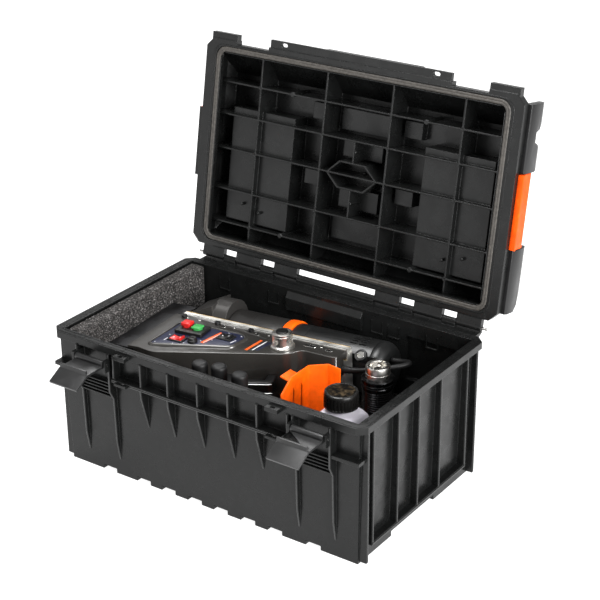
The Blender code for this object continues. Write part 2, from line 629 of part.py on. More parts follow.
def spindle_round(radius, flat, sides=32):
    """A circle about the spindle in (y, z), cut flat on the side that faces the slide."""
    outline = []
    for i in range(sides):
        angle = 2 * pi * (i + 0.5) / sides
        y, z = SPINDLE_Y + radius * cos(angle), radius * sin(angle)
        if y >= flat:
            outline.append((y, z))
        else:
            outline.append((flat, z))
    return outline


def gearbox_housing():
    shape = prism(spindle_round(0.0445, 0.0583), 0.115, 0.2117, "x")
    shape = cut(shape, prism(spindle_round(0.0405, 0.0620), 0.1240, 0.220, "x"))
    return cut(shape, rod(0.0110, 0.11, 0.13, "x", (SPINDLE_Y, 0), 20),
               rod(0.0043, 0.1195, 0.13, "x", (SPINDLE_Y, -SHAFT_DROP), 12))


def orange_band():
    shape = prism(spindle_round(0.0452, 0.0620), 0.2120, 0.2280, "x")
    return cut(shape, prism(spindle_round(0.0385, 0.0670), 0.20, 0.24, "x"))


def motor_housing():
    shape = prism(spindle_round(MOTOR_R, 0.0640), 0.2283, 0.3727, "x")
    shape = cut(shape, prism(spindle_round(0.0388, 0.0670), 0.22, 0.38, "x"))
    vents = [box((0.3445, 0.3675), (y - 0.0014, y + 0.0014), (0.020, 0.05)) for y in (0.083, 0.090, 0.097, 0.104)]
    vents += [box((0.3445, 0.3675), (y - 0.0014, y + 0.0014), (-0.05, -0.020)) for y in (0.083, 0.090, 0.097, 0.104)]
    return cut(shape, *vents, rod(0.0063, 0.020, 0.05, "z", (0.357, 0.0735), 16))


def motor_end_cap():
    def level(radius, x):
        return [(radius * cos(2 * pi * (i + 0.5) / 24), radius * sin(2 * pi * (i + 0.5) / 24)) for i in range(24)], x
    shape = loft([level(MOTOR_R, 0.3730), level(MOTOR_R, 0.3790), level(0.0395, 0.3880), level(0.0330, 0.3940)])
    shape.data.transform(Matrix(((0, 0, 1, 0), (1, 0, 0, SPINDLE_Y), (0, 1, 0, 0), (0, 0, 0, 1))))
    shape = cut(shape, box((0.36, 0.40), (0.04, 0.0640), (-0.05, 0.05)))
    return cut(shape, rod(0.0050, 0.37, 0.386, "x", (SPINDLE_Y, 0), 16))


def brush_cap():
    return rod(0.0060, 0.0300, 0.0392, "z", (0.357, 0.0735), 16)


def stator():
    body = prism(spindle_round(0.0383, 0.0674, 24), 0.2450, 0.3250, "x")
    return cut(body, rod(0.0195, 0.24, 0.33, "x", (SPINDLE_Y, 0), 24))


def arbor_bracket():
    """The arched hood around the arbor, below the gearbox, with a plate that rises to it."""
    middle, spring, span, rise = 0.0942, 0.0215, 0.0358, 0.0400
    arch = [(middle + span * cos(radians(t)), spring + rise * sin(radians(t))) for t in range(0, 181, 15)]
    hood = prism([(0.0584, -0.0400), (0.1180, -0.0400), (0.1300, -0.0240), *arch], 0.0870, 0.1146, "x")
    lower = [(0.0584, -0.0330), (0.1100, -0.0330), (0.1180, -0.0200), (0.1180, 0.0220), (0.1060, 0.0350), (0.0584, 0.0350)]
    shape = join(hood, prism(lower, 0.0500, 0.0890, "x"))
    shape = join(shape, prism([(0.0450, 0.0300), (0.0900, 0.0400), (0.0900, 0.0590), (0.0450, 0.0380)], 0.0640, 0.1180, "y"))
    return cut(shape, rod(0.0260, 0.04, 0.12, "x", (SPINDLE_Y, 0), 28), box((0.0620, 0.1040), (0.0700, 0.1160), (0.012, 0.045)))


def arbor():
    return turned([
        (0, 0.0600), (0.0150, 0.0600), (0.0170, 0.0620), (0.0170, 0.0880), (0.0235, 0.0900), (0.0235, 0.1080),
        (0.0104, 0.1100), (0.0104, 0.1240), (0.0080, 0.1245), (0.0080, 0.1500), (0, 0.1500),
    ], "x", (SPINDLE_Y, 0), 28)


def gear(teeth, tooth_at, drop, low, high, slack=0.00012):
    return prism(gear_outline(teeth, GEAR_MODULE, (SPINDLE_Y, -drop), tooth_at, slack, 0.8), low, high, "x")


def spindle_gear():
    """It has a gap, not a tooth, pointing straight down at the countershaft's pinion."""
    shape = gear(SPINDLE_TEETH, -pi / 2 + pi / SPINDLE_TEETH, 0, 0.1280, 0.1400)
    return cut(shape, rod(0.0083, 0.12, 0.15, "x", (SPINDLE_Y, 0), 20))


def countershaft():
    small = gear(SECOND_TEETH, pi / 2, SHAFT_DROP, 0.1275, 0.1405)
    large = gear(FIRST_TEETH, pi / 2 + pi / FIRST_TEETH, SHAFT_DROP, 0.1760, 0.1860)
    return join(large, small, rod(0.0040, 0.1205, 0.1900, "x", (SPINDLE_Y, -SHAFT_DROP), 12))


def armature():
    body = turned([
        (0, 0.1700), (0.0033, 0.1700), (0.0033, 0.2400), (0.0050, 0.2410), (0.0050, 0.2480), (0.0185, 0.2490),
        (0.0185, 0.3200), (0.0050, 0.3210), (0.0050, 0.3330), (0.0120, 0.3340), (0.0120, 0.3550), (0.0046, 0.3560),
        (0.0046, 0.3850), (0, 0.3850),
    ], "x", (SPINDLE_Y, 0), 20)
    return join(gear(ARMATURE_TEETH, -pi / 2, 0, 0.1765, 0.1855), body)


def motor_lead():
    return tube([
        (0.3460, 0.0300, 0.0200), (0.3650, 0.0308, 0.0213), (0.3900, 0.0385, 0.0250), (0.4150, 0.0500, 0.0285),
        (0.4300, 0.0620, 0.0300), (0.4345, 0.0730, 0.0295), (0.4280, 0.0830, 0.0260), (0.4150, 0.0890, 0.0220),
        (0.3965, 0.0892, 0.0205),
    ], 0.004)


# ---- The loose tools and supplies ----
def foam_end_pad():
    pad = box((-0.2600, -0.2350), (-0.150, 0.150), (0.0125, 0.222))
    pocket = box((-0.0006, 0.02), (-0.0862, 0.0862), (-0.0415, 0.10))
    pocket.data.transform(DRILL_FRAME)
    return cut(pad, pocket)


def foam_bed():
    outline = [
        (-0.2345, -0.150), (0.150, -0.150), (0.150, -0.045), (0.2600, -0.045), (0.2600, 0.150), (-0.2345, 0.150),
    ]
    holes = [rod(0.0062, 0.0, 0.12, "z", place, 12) for place in HANDLES]
    return cut(prism(outline, 0.0125, BED_TOP), *holes)


def oil_bottle():
    def level(half, cut_off, z):
        return [(x + BOTTLE[0], y + BOTTLE[1]) for x, y in chamfered(half, -half, half, cut_off)], z
    shape = loft([level(0.0320, 0.010, 0.0125), level(0.0330, 0.010, 0.0150), level(0.0330, 0.010, 0.1830),
                  level(0.0300, 0.0105, 0.1930), level(0.0180, 0.0095, 0.2000)])
    shape = join(shape, rod(0.0155, 0.1950, 0.2200, "z", BOTTLE, 24))
    inside = loft([level(0.0312, 0.0095, 0.0150), level(0.0312, 0.0095, 0.1820), level(0.0282, 0.010, 0.1915),
                   level(0.0160, 0.0088, 0.1985)])
    return cut(shape, inside, rod(0.0135, 0.1900, 0.230, "z", BOTTLE, 24))


def bottle_cap():
    shape = turned([(0, 0.2030), (0.0245, 0.2030), (0.0250, 0.2045), (0.0250, 0.2265), (0.0235, 0.2285), (0, 0.2285)],
                   "z", BOTTLE, 32)
    return cut(shape, rod(0.0160, 0.20, 0.2235, "z", BOTTLE, 24))


def chip_guard():
    """A folded orange shield with chamfered top corners, two slots down its long side and a tab at the top."""
    near, bend, far, tip = (Vector(place) for place in GUARD_BEND)
    inner = [tip - Vector((0.0002, GUARD_THICK)), far - Vector((-0.0008, GUARD_THICK * 1.15)),
             bend + Vector((GUARD_THICK, -0.0010)), near + Vector((GUARD_THICK, 0))]
    shape = prism([tuple(place) for place in (near, bend, far, tip, *inner)], BED_TOP + 0.0004, 0.2100)
    tab = prism([(0.0800, 0.2070), (0.0955, 0.2040), (0.0955, 0.2065), (0.0800, 0.2095)], -0.0780, -0.0520, "y")
    corner = prism([(-0.100, 0.2120), (-0.070, 0.2120), (-0.100, 0.1900)], 0.09, 0.10, "x")
    slots = [prism([(y - 0.002, 0.115), (y + 0.004, 0.115), (y + 0.004, 0.185), (y + 0.001, 0.192)], 0.09, 0.10, "x")
             for y in (-0.070, -0.050)]
    return cut(join(shape, tab), corner, *slots)


def chuck_body():
    shape = turned([
        (0, BED_TOP + 0.0004), (0.0100, BED_TOP + 0.0004), (0.0170, 0.1180), (0.0170, 0.1500), (0.0170, 0.1820),
        (0.0245, 0.1825), (0.0245, 0.1930), (0.0170, 0.1935), (0.0170, 0.2100), (0.0155, 0.2120), (0, 0.2120),
    ], "z", CHUCK, 28)
    return cut(shape, rod(0.0070, 0.1900, 0.2200, "z", CHUCK, 16))


def chuck_sleeve():
    return ring(0.0173, 0.0235, 0.1400, 0.1820, "z", CHUCK, 28)


def feed_handle_rod(x, y):
    return turned([(0, 0.0130), (0.0035, 0.0130), (0.0045, 0.0140), (0.0045, 0.2010), (0, 0.2010)], "z", (x, y), 12)


def feed_handle_grip(x, y):
    grip = turned([(0, 0.1100), (0.0095, 0.1100), (0.0120, 0.1170), (0.0120, 0.2090), (0.0095, 0.2150), (0, 0.2150)],
                  "z", (x, y), 18)
    return cut(grip, rod(0.0048, 0.10, 0.2014, "z", (x, y), 12))


def build_case():
    node("case_tub", case_tub(), "black_plastic")
    node("hinge_pin", rod(0.0020, -0.2715, 0.2715, "x", (HINGE_Y, HINGE_Z), 12), "steel")
    node("foam_end_pad", foam_end_pad(), "foam")
    node("foam_bed", foam_bed(), "foam")
    lid = pivot("lid_hinge_axis", (0, HINGE_Y, HINGE_Z), rotation=(-LID_OPEN, 0, 0))
    node("lid_shell", lid_shell(), "black_plastic", lid)
    node("lid_gasket", lid_gasket(), "seal_rubber", lid)
    swing = pivot("carry_handle_axis", (0, -0.168, 0.2495), lid)
    node("carry_handle", carry_handle(), "dark_plastic", swing)
    for side, word in ((-1, "left"), (1, "right")):
        node(f"lid_side_frame_{word}", side_frame(side), "dark_plastic", lid)
        swing = pivot(f"side_handle_{word}_axis", (side * 0.2890, 0, 0.2610), lid)
        node(f"side_handle_{word}", side_handle(side), "orange_plastic", swing)
        ends = sorted((side * (LATCH_X - 0.0315), side * (LATCH_X + 0.0315)))
        node(f"latch_pin_{word}", rod(0.0019, *ends, "x", (LATCH_Y, LATCH_Z), 12), "steel")
        swing = pivot(f"latch_{word}_axis", (side * LATCH_X, LATCH_Y, LATCH_Z), rotation=(LATCH_OPEN, 0, 0))
        node(f"latch_{word}", latch(side), "dark_plastic", swing)


def build_drill():
    drill = pivot("drill_axis", (0, 0, 0), rotation=(0, -DRILL_TILT, DRILL_YAW))
    drill.location = DRILL_PLACE
    node("magnet_base", magnet_base(), "magnet_steel", drill)
    node("magnet_coil", magnet_coil(), "copper", drill)
    node("stand_housing", stand_housing(), "grey_paint", drill)
    node("stand_cover", stand_cover(), "grey_paint", drill)
    node("control_panel", control_panel(), "navy_panel", drill)
    node("switch_box", switch_box(), "dark_plastic", drill)
    for name, colour in (("stop_button", "red_plastic"), ("start_button", "green_plastic")):
        press = pivot(f"{name}_axis", (*BUTTONS[name], 0.0505), drill)
        node(name, button(name), colour, press)
    for name, colour in (("magnet_rocker", "red_plastic"), ("mode_rocker", "dark_plastic")):
        tilt = pivot(f"{name}_axis", (*ROCKERS[name], 0.0475), drill, (0, radians(-7), 0))
        node(name, rocker(name), colour, tilt)
    node("fuse_cap", rod(0.0075, 0.0478, 0.0550, "z", FUSE, 20), "dark_plastic", drill)
    node("gib_strip", gib_strip(), "brass", drill)
    for count, x in enumerate(GIB_SCREW_X, 1):
        node(f"gib_screw_{count}", gib_screw(x), "dark_plastic", drill)
    node("rear_handle", rear_handle(), "dark_plastic", drill)
    node("control_board", control_board(), "green_plastic", drill)
    hub = pivot("hub_axis", (HUB_X, HUB_Y, 0), drill)
    node("feed_pinion_shaft", feed_pinion_shaft(), "steel", hub)
    node("feed_hub", feed_hub(), "steel", hub)
    node("hub_cap", hub_cap(), "dark_plastic", hub)
    slide = pivot("slide_axis", (0.0475, 0.0543, 0), drill)
    node("slide_bar", slide_bar(), "steel", slide)
    node("feed_rack", feed_rack(), "steel", slide)
    node("gearbox_housing", gearbox_housing(), "grey_paint", slide)
    node("orange_band", orange_band(), "orange_plastic", slide)
    node("motor_housing", motor_housing(), "dark_plastic", slide)
    node("motor_end_cap", motor_end_cap(), "dark_plastic", slide)
    node("brush_cap", brush_cap(), "dark_plastic", slide)
    node("stator", stator(), "copper", slide)
    node("arbor_bracket", arbor_bracket(), "grey_paint", slide)
    spindle = pivot("spindle_axis", (0.06, SPINDLE_Y, 0), slide)
    node("arbor", arbor(), "steel", spindle)
    node("spindle_gear", spindle_gear(), "steel", spindle)
    node("countershaft", countershaft(), "steel", pivot("countershaft_axis", (0.12, SPINDLE_Y, -SHAFT_DROP), slide))
    node("armature", armature(), "copper", pivot("armature_axis", (0.17, SPINDLE_Y, 0), slide))
    node("motor_lead", motor_lead(), "grip_rubber", drill)


def build_tools():
    node("oil_bottle", oil_bottle(), "white_plastic")
    node("bottle_cap", bottle_cap(), "dark_plastic")
    node("chip_guard", chip_guard(), "orange_plastic")
    node("chuck_body", chuck_body(), "steel")
    node("chuck_sleeve", chuck_sleeve(), "steel")
    for count, place in enumerate(HANDLES, 1):
        node(f"feed_handle_rod_{count}", feed_handle_rod(*place), "steel")
        node(f"feed_handle_grip_{count}", feed_handle_grip(*place), "grip_rubber")


for old in list(bpy.data.objects):
    bpy.data.objects.remove(old)
build_case()
build_drill()
build_tools()
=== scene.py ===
"""A magnetic drill press in its transport case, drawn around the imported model. Metres, +Z up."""
import json
from math import cos, pi, radians, sin

import bmesh
import bpy
from mathutils import Matrix, Vector


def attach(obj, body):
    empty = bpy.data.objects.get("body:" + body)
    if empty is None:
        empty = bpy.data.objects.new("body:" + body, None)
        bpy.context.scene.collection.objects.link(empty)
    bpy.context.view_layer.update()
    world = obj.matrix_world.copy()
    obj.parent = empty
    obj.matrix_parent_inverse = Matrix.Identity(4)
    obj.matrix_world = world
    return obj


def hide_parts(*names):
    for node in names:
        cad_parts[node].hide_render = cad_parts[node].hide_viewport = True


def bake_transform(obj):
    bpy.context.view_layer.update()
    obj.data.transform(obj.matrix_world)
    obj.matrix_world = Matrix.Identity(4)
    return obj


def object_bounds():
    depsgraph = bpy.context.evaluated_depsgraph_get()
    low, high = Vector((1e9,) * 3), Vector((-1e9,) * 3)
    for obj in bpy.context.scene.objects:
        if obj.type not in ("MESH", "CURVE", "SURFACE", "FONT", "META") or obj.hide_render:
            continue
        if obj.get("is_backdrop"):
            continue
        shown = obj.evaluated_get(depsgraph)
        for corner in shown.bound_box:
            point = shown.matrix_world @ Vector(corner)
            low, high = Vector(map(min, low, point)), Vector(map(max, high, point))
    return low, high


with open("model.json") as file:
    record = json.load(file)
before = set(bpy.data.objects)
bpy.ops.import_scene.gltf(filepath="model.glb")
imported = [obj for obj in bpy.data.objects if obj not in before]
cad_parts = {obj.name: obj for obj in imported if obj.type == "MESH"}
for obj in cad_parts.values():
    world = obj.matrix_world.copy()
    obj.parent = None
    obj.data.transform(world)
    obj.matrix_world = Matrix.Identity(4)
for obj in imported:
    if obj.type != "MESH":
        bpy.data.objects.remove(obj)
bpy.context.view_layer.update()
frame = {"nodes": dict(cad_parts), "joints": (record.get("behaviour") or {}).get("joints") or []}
scene = bpy.context.scene
nodes = frame["nodes"]
joints = {joint["name"]: joint for joint in frame["joints"]}

# ---- Studio ----
# A pale seamless floor under wide soft lamps: one broad lamp on the right
# that greys the right end wall, one over the open case, one behind that picks
# out the top edges, and a weak one in front on the left.
CAMERA_PLACE = Vector((1.28202, -1.74199, 1.27504))
CAMERA_TURN, CAMERA_DOWN, CAMERA_ROLL = radians(-35.018), radians(24.74), radians(-0.399)
FOCAL_MM = 96.6

ahead = Vector((sin(CAMERA_TURN) * cos(CAMERA_DOWN), cos(CAMERA_TURN) * cos(CAMERA_DOWN), -sin(CAMERA_DOWN)))
across = ahead.cross(Vector((0, 0, 1))).normalized()
above = across.cross(ahead)
right = cos(CAMERA_ROLL) * across + sin(CAMERA_ROLL) * above
upward = cos(CAMERA_ROLL) * above - sin(CAMERA_ROLL) * across
camera = bpy.data.objects.new("camera", bpy.data.cameras.new("camera"))
camera.data.lens = FOCAL_MM
camera.data.sensor_width = 36
camera.data.clip_start, camera.data.clip_end = 0.05, 50
camera.matrix_world = Matrix((
    (right.x, upward.x, -ahead.x, CAMERA_PLACE.x),
    (right.y, upward.y, -ahead.y, CAMERA_PLACE.y),
    (right.z, upward.z, -ahead.z, CAMERA_PLACE.z),
    (0, 0, 0, 1),
))
scene.collection.objects.link(camera)
scene.camera = camera
scene.view_settings.view_transform = "Standard"

LAMPS = {
    "lamp_right": ((2.3, -0.7, 1.1), (1.5, 1.5), 122),
    "lamp_over": ((-0.2, -0.3, 2.2), (1.0, 1.0), 40),
    "lamp_behind": ((-0.9, 1.6, 2.1), (1.6, 0.8), 40),
    "lamp_front": ((-1.3, -2.2, 0.9), (1.2, 1.2), 5),
}
for name, (place, size, power) in LAMPS.items():
    light = bpy.data.lights.new(name, "AREA")
    light.shape = "RECTANGLE"
    light.size, light.size_y = size
    light.energy = power
    lamp = bpy.data.objects.new(name, light)
    lamp.location = place
    lamp.rotation_euler = (Vector((0, 0, 0.15)) - Vector(place)).to_track_quat("-Z", "Y").to_euler()
    scene.collection.objects.link(lamp)

world = bpy.data.worlds.new("studio")
world.use_nodes = True
world.node_tree.nodes["Background"].inputs["Color"].default_value = (1, 1, 1, 1)
world.node_tree.nodes["Background"].inputs["Strength"].default_value = 0.42
scene.world = world

floor_mesh = bpy.data.meshes.new("floor")
FLOOR_HALF = 30
floor_corners = [(x * FLOOR_HALF, y * FLOOR_HALF, 0) for x, y in ((-1, -1), (1, -1), (1, 1), (-1, 1))]
floor_mesh.from_pydata(floor_corners, [], [(0, 1, 2, 3)])
floor = bpy.data.objects.new("floor", floor_mesh)
floor_paint = bpy.data.materials.new("floor_paint")
floor_paint.use_nodes = True
paint = floor_paint.node_tree.nodes["Principled BSDF"]
paint.inputs["Base Color"].default_value = (0.35, 0.35, 0.35, 1)
paint.inputs["Roughness"].default_value = 0.9
paint.inputs["Emission Color"].default_value = (1, 1, 1, 1)
paint.inputs["Emission Strength"].default_value = 0.95
floor_mesh.materials.append(floor_paint)
scene.collection.objects.link(floor)
floor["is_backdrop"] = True


# ---- Case tub ----
# A deep tub moulded in black glass-filled polypropylene with a fine
# spark-eroded grain, stiffened by outside ribs. Two low lips run round the
# top of its rim, and small ledges stand inside the back wall.
def shade(name, base, rough, metal=0.0, gloss=0.5):
    """A new Principled material and its shader."""
    made = bpy.data.materials.new(name)
    made.use_nodes = True
    shader = made.node_tree.nodes["Principled BSDF"]
    shader.inputs["Base Color"].default_value = (*base, 1)
    shader.inputs["Roughness"].default_value = rough
    shader.inputs["Metallic"].default_value = metal
    shader.inputs["Specular IOR Level"].default_value = gloss
    return made, shader


def wire(material, source, target):
    material.node_tree.links.new(source, target)


def clouds(material, size, detail=3.0, stretch=(1, 1, 1)):
    """A noise of one size in metres, drawn out along an axis where stretch is under 1."""
    tree = material.node_tree
    where = tree.nodes.new("ShaderNodeTexCoord")
    turn = tree.nodes.new("ShaderNodeMapping")
    turn.inputs["Scale"].default_value = stretch
    noise = tree.nodes.new("ShaderNodeTexNoise")
    noise.inputs["Scale"].default_value = 1 / size
    noise.inputs["Detail"].default_value = detail
    wire(material, where.outputs["Object"], turn.inputs["Vector"])
    wire(material, turn.outputs["Vector"], noise.inputs["Vector"])
    return noise.outputs["Fac"]


def grain(material, shader, height, depth, edge=0.0):
    """Bumps from a height, over edges that are softened by a small radius."""
    tree = material.node_tree
    bump = tree.nodes.new("ShaderNodeBump")
    bump.inputs["Strength"].default_value = 0.6
    bump.inputs["Distance"].default_value = depth
    wire(material, height, bump.inputs["Height"])
    if edge:
        soften = tree.nodes.new("ShaderNodeBevel")
        soften.samples = 4
        soften.inputs["Radius"].default_value = edge
        wire(material, soften.outputs["Normal"], bump.inputs["Normal"])
    wire(material, bump.outputs["Normal"], shader.inputs["Normal"])


def spread(material, fac, target, low, high, near=0.35, far=0.65):
    """Sends a noise to a socket as a value between low and high."""
    reach = material.node_tree.nodes.new("ShaderNodeMapRange")
    reach.inputs["From Min"].default_value = near
    reach.inputs["From Max"].default_value = far
    reach.inputs["To Min"].default_value = low
    reach.inputs["To Max"].default_value = high
    wire(material, fac, reach.inputs["Value"])
    wire(material, reach.outputs["Result"], target)


def tint(material, fac, shader, stops):
    """Colours a surface from a noise, through (place, colour) stops."""
    ramp = material.node_tree.nodes.new("ShaderNodeValToRGB")
    while len(ramp.color_ramp.elements) < len(stops):
        ramp.color_ramp.elements.new(0.5)
    for stop, (place, colour) in zip(ramp.color_ramp.elements, stops):
        stop.position = place
        stop.color = (*colour, 1)
    wire(material, fac, ramp.inputs["Fac"])
    wire(material, ramp.outputs["Color"], shader.inputs["Base Color"])


def moulded(name, base, rough, size=0.0006, depth=0.00008, edge=0.0009, gloss=0.3):
    """A moulded plastic: fine grain, patchy gloss and a faint bloom of paler scuffs."""
    made, shader = shade(name, base, rough, gloss=gloss)
    grain(made, shader, clouds(made, size), depth, edge)
    spread(made, clouds(made, 0.03, 4), shader.inputs["Roughness"], rough - 0.05, rough + 0.08)
    darker, paler = [c * 0.8 for c in base], [c * 1.5 for c in base]
    tint(made, clouds(made, 0.012, 6), shader, ((0.35, darker), (0.6, base), (0.75, paler)))
    return made


def finish_node(name, material):
    """Gives a CAD node its finish."""
    nodes[name].data.materials.clear()
    nodes[name].data.materials.append(material)


def piece(name, bm, material, body, slot, *stands_for, place=None, sharp=32):
    """Makes a finished piece of a mesh, on a body, in place of any CAD nodes named."""
    bmesh.ops.recalc_face_normals(bm, faces=bm.faces)
    if place:
        bm.transform(place)
    mesh = bpy.data.meshes.new(name)
    bm.to_mesh(mesh)
    bm.free()
    mesh.shade_smooth()
    mesh.set_sharp_from_angle(angle=radians(sharp))
    mesh.materials.append(material)
    made = bpy.data.objects.new(name, mesh)
    scene.collection.objects.link(made)
    if stands_for:
        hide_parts(*stands_for)
    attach(made, body)
    return made


def skin(bm, rings, closed=False):
    """Faces between rings of points. A closed skin joins its last ring to its first; others end flat."""
    rows = [[bm.verts.new(point) for point in ring] for ring in rings]
    for first, second in list(zip(rows, rows[1:])) + ([(rows[-1], rows[0])] if closed else []):
        for i in range(len(first)):
            j = (i + 1) % len(first)
            bm.faces.new((first[i], first[j], second[j], second[i]))
    if not closed:
        bm.faces.new(rows[0])
        bm.faces.new(rows[-1])


def block(bm, x, y, z):
    """A block between two values on each axis."""
    skin(bm, [[(x[0], y[0], h), (x[1], y[0], h), (x[1], y[1], h), (x[0], y[1], h)] for h in z])


def round_rectangle(half_x, half_y, radius, middle=(0, 0), steps=6):
    outline = []
    for sign_x, sign_y, start in ((1, 1, 0), (-1, 1, 90), (-1, -1, 180), (1, -1, 270)):
        for step in range(steps + 1):
            angle = radians(start + 90 * step / steps)
            outline.append((
                middle[0] + sign_x * (half_x - radius) + radius * cos(angle),
                middle[1] + sign_y * (half_y - radius) + radius * sin(angle),
            ))
    return outline


def bead(bm, half_x, half_y, radius, section, middle=(0, 0)):
    """A strip round a rectangle. The section is (distance outwards, height)."""
    skin(bm, [
        [(x, y, height) for x, y in round_rectangle(half_x + out, half_y + out, radius + out, middle)]
        for out, height in section
    ], closed=True)


def sleeve(bm, line, radii, sides=16, facing=Vector((0, 0, 1))):
    """A round tube along a line, with a radius at each point. It never runs along the way it faces."""
    rings = []
    for i, here in enumerate(line):
        way = (line[min(i + 1, len(line) - 1)] - line[max(i - 1, 0)]).normalized()
        side = way.cross(facing).normalized()
        rise = side.cross(way)
        rings.append([here + radii[i] * (cos(t) * side + sin(t) * rise)
                      for t in [2 * pi * k / sides for k in range(sides)]])
    skin(bm, rings)


def lip(width, height, base):
    """The section of a low lip with a round top."""
    return [(-width / 2, base - 0.0003), (-width / 2, base + height * 0.6), (-width / 4, base + height),
            (width / 4, base + height), (width / 2, base + height * 0.6), (width / 2, base - 0.0003)]


BLACK = (0.0062, 0.0065, 0.0064)
case_plastic = moulded("case_plastic", BLACK, 0.27, edge=0.0016, gloss=0.27)
finish_node("case_tub", case_plastic)
RIM_TOP = 0.2235
bm = bmesh.new()
bead(bm, 0.2765, 0.1652, 0.014, lip(0.0014, 0.0004, RIM_TOP))
bead(bm, 0.2685, 0.1578, 0.008, lip(0.0012, 0.0004, RIM_TOP))
piece("rim_lips", bm, case_plastic, "case", "case_plastic")

# Every rib ends in a full round, which shines as a fine line. The rounds
# are a glossier, slightly paler copy of the plastic; the paler colour is a
# painted highlight along the rib edges.
WALL_FRONT, ROUND = -0.1525, 0.0013
bm = bmesh.new()
sideways = Vector((1, 0, 0))


def rib_round(places, facing=sideways):
    sleeve(bm, [Vector(place) for place in places], [ROUND] * len(places), 10, facing)


INNER_RIBS = (-0.105, -0.0545, 0, 0.0545, 0.105)
for x in INNER_RIBS:
    rib_round([(x, -0.1709, 0.1700), (x, -0.1698, 0.156), (x, WALL_FRONT + 0.0003, 0.103)])
for x in (-0.157, *INNER_RIBS, 0.157):
    rib_round([(x, -0.1697, 0.1755), (x, -0.1697, 0.2120)])
for x in (-0.2275, -0.1662, 0.1662, 0.2275):
    rib_round([(x, -0.1697, 0.2120), (x, -0.1697, 0.1500), (x, -0.1620, 0.1350), (x, -0.1600, 0.0600),
               (x, -0.1546, 0.0285)])
for x in (-0.2765, 0.2765):
    for y in (-0.135, -0.071, -0.016, 0.045, 0.121):
        rib_round([(x, y, 0.0310), (x, y, 0.2120)])
    for y in (-0.149, 0.149):
        rib_round([(x, y, 0.0055), (x, y, 0.2120)])
    rib_round([(x, -0.1362, 0.0285), (x, 0.1222, 0.0285)])
upwards = Vector((0, 0, 1))
for z in (0.1738, 0.1713):
    rib_round([(-0.1585, -0.1719, z), (0.1585, -0.1719, z)], upwards)
# paler than the case's plastic: a painted highlight on the rib edges, on top of the real gloss
rib_shine = moulded("rib_shine", (0.0100, 0.0103, 0.0102), 0.22, edge=0.0, gloss=0.6)
piece("rib_rounds", bm, rib_shine, "case", "case_plastic", sharp=60)

WALL_INSIDE = 0.1540
bm = bmesh.new()
LEDGE, BURIED = 0.1885, 0.001
for x in (-0.196, -0.098, 0.098, 0.128, 0.196):
    block(bm, (x - 0.0095, x + 0.0095), (WALL_INSIDE - 0.0018, WALL_INSIDE + BURIED), (LEDGE, 0.1910))
    for near, far in ((x - 0.0105, x - 0.0093), (x + 0.0093, x + 0.0105)):
        block(bm, (near, far), (WALL_INSIDE - 0.0010, WALL_INSIDE + BURIED), (LEDGE, 0.2100))
piece("back_wall_ledges", bm, case_plastic, "case", "case_plastic")

# ---- Hinge pin ----
# A long wire of ground steel, pushed in from one end through the knuckles of
# the tub and the lid.
def brushed(name, base, rough, size=0.0005, depth=0.00002, edge=0.0004, stretch=(1, 1, 1)):
    """Machined metal: fine marks drawn out along one axis, and patchy polish."""
    made, shader = shade(name, base, rough, 1.0)
    grain(made, shader, clouds(made, size, 2, stretch), depth, edge)
    spread(made, clouds(made, 0.02, 3), shader.inputs["Roughness"], rough * 0.8, rough * 1.3)
    return made


ground_steel = brushed("ground_steel", (0.58, 0.57, 0.55), 0.24)
finish_node("hinge_pin", ground_steel)

# ---- Lid shell ----
# The lid is moulded in the same black plastic, with a lattice of ribs and
# sunk pads inside. Small ejector rings stand on the rib crossings.
LID_HINGE = Vector(joints["lid_hinge"]["pos_m"])
lid_open = (
    Matrix.Translation(LID_HINGE) @ Matrix.Rotation(radians(joints["lid_hinge"]["range_deg"][0]), 4, "X")
    @ Matrix.Translation(-LID_HINGE)
)


def turn(bm, profile, place=Matrix.Identity(4), sides=48, closed=False):
    """A turned shape. The profile is (radius, height) along the place's own Z."""
    circle = [(cos(2 * pi * i / sides), sin(2 * pi * i / sides)) for i in range(sides)]
    skin(bm, [[place @ Vector((r * x, r * y, h)) for x, y in circle] for r, h in profile], closed)


def at(x, y, z=0.0):
    return Matrix.Translation((x, y, z))


lid_plastic = moulded("lid_plastic", BLACK, 0.27, edge=0.0020, gloss=0.36)
finish_node("lid_shell", lid_plastic)
RIB_EDGE = 0.2390  # the ribs' edges, with the lid closed
bm = bmesh.new()
for x in (-0.184, 0.184):
    for y in (-0.100, 0.008, 0.130):
        turn(bm, [(0.0020, RIB_EDGE + 0.001), (0.0020, RIB_EDGE - 0.0006), (0.0036, RIB_EDGE - 0.0006),
                  (0.0036, RIB_EDGE + 0.001)], at(x, y), 20, closed=True)
for x in (-0.060, 0.060):
    for y in (-0.048, 0.075):
        turn(bm, [(0.0016, RIB_EDGE + 0.001), (0.0016, RIB_EDGE - 0.0005), (0.0030, RIB_EDGE - 0.0005),
                  (0.0030, RIB_EDGE + 0.001)], at(x, y), 20, closed=True)
piece("lid_ejector_rings", bm, lid_plastic, "lid", "lid_plastic", place=lid_open)

# Posts and stays moulded between the ribs, and the boss in the middle of the hexagon.
LID_INNER = 0.2866
bm = bmesh.new()
turn(bm, [(0.0046, 0.2750), (0.0040, 0.2715), (0.0022, 0.2708), (0.0001, 0.2708)], at(0.004, 0.0085), 24)
for x, y in ((0.0, -0.030), (0.0, 0.052), (-0.206, 0.095), (-0.172, 0.104), (0.206, 0.095), (0.172, 0.104)):
    turn(bm, [(0.0030, LID_INNER), (0.0024, 0.2440), (0.0016, 0.2432), (0.0001, 0.2432)], at(x, y), 16)
for y in ((-0.0480, -0.0135), (0.0305, 0.0750)):
    block(bm, (-0.0011, 0.0011), y, (0.2402, LID_INNER))
for side in (-1, 1):
    block(bm, sorted((side * 0.047, side * 0.060)), (0.0074, 0.0096), (0.2402, LID_INNER))
piece("lid_posts", bm, lid_plastic, "lid", "lid_plastic", place=lid_open)

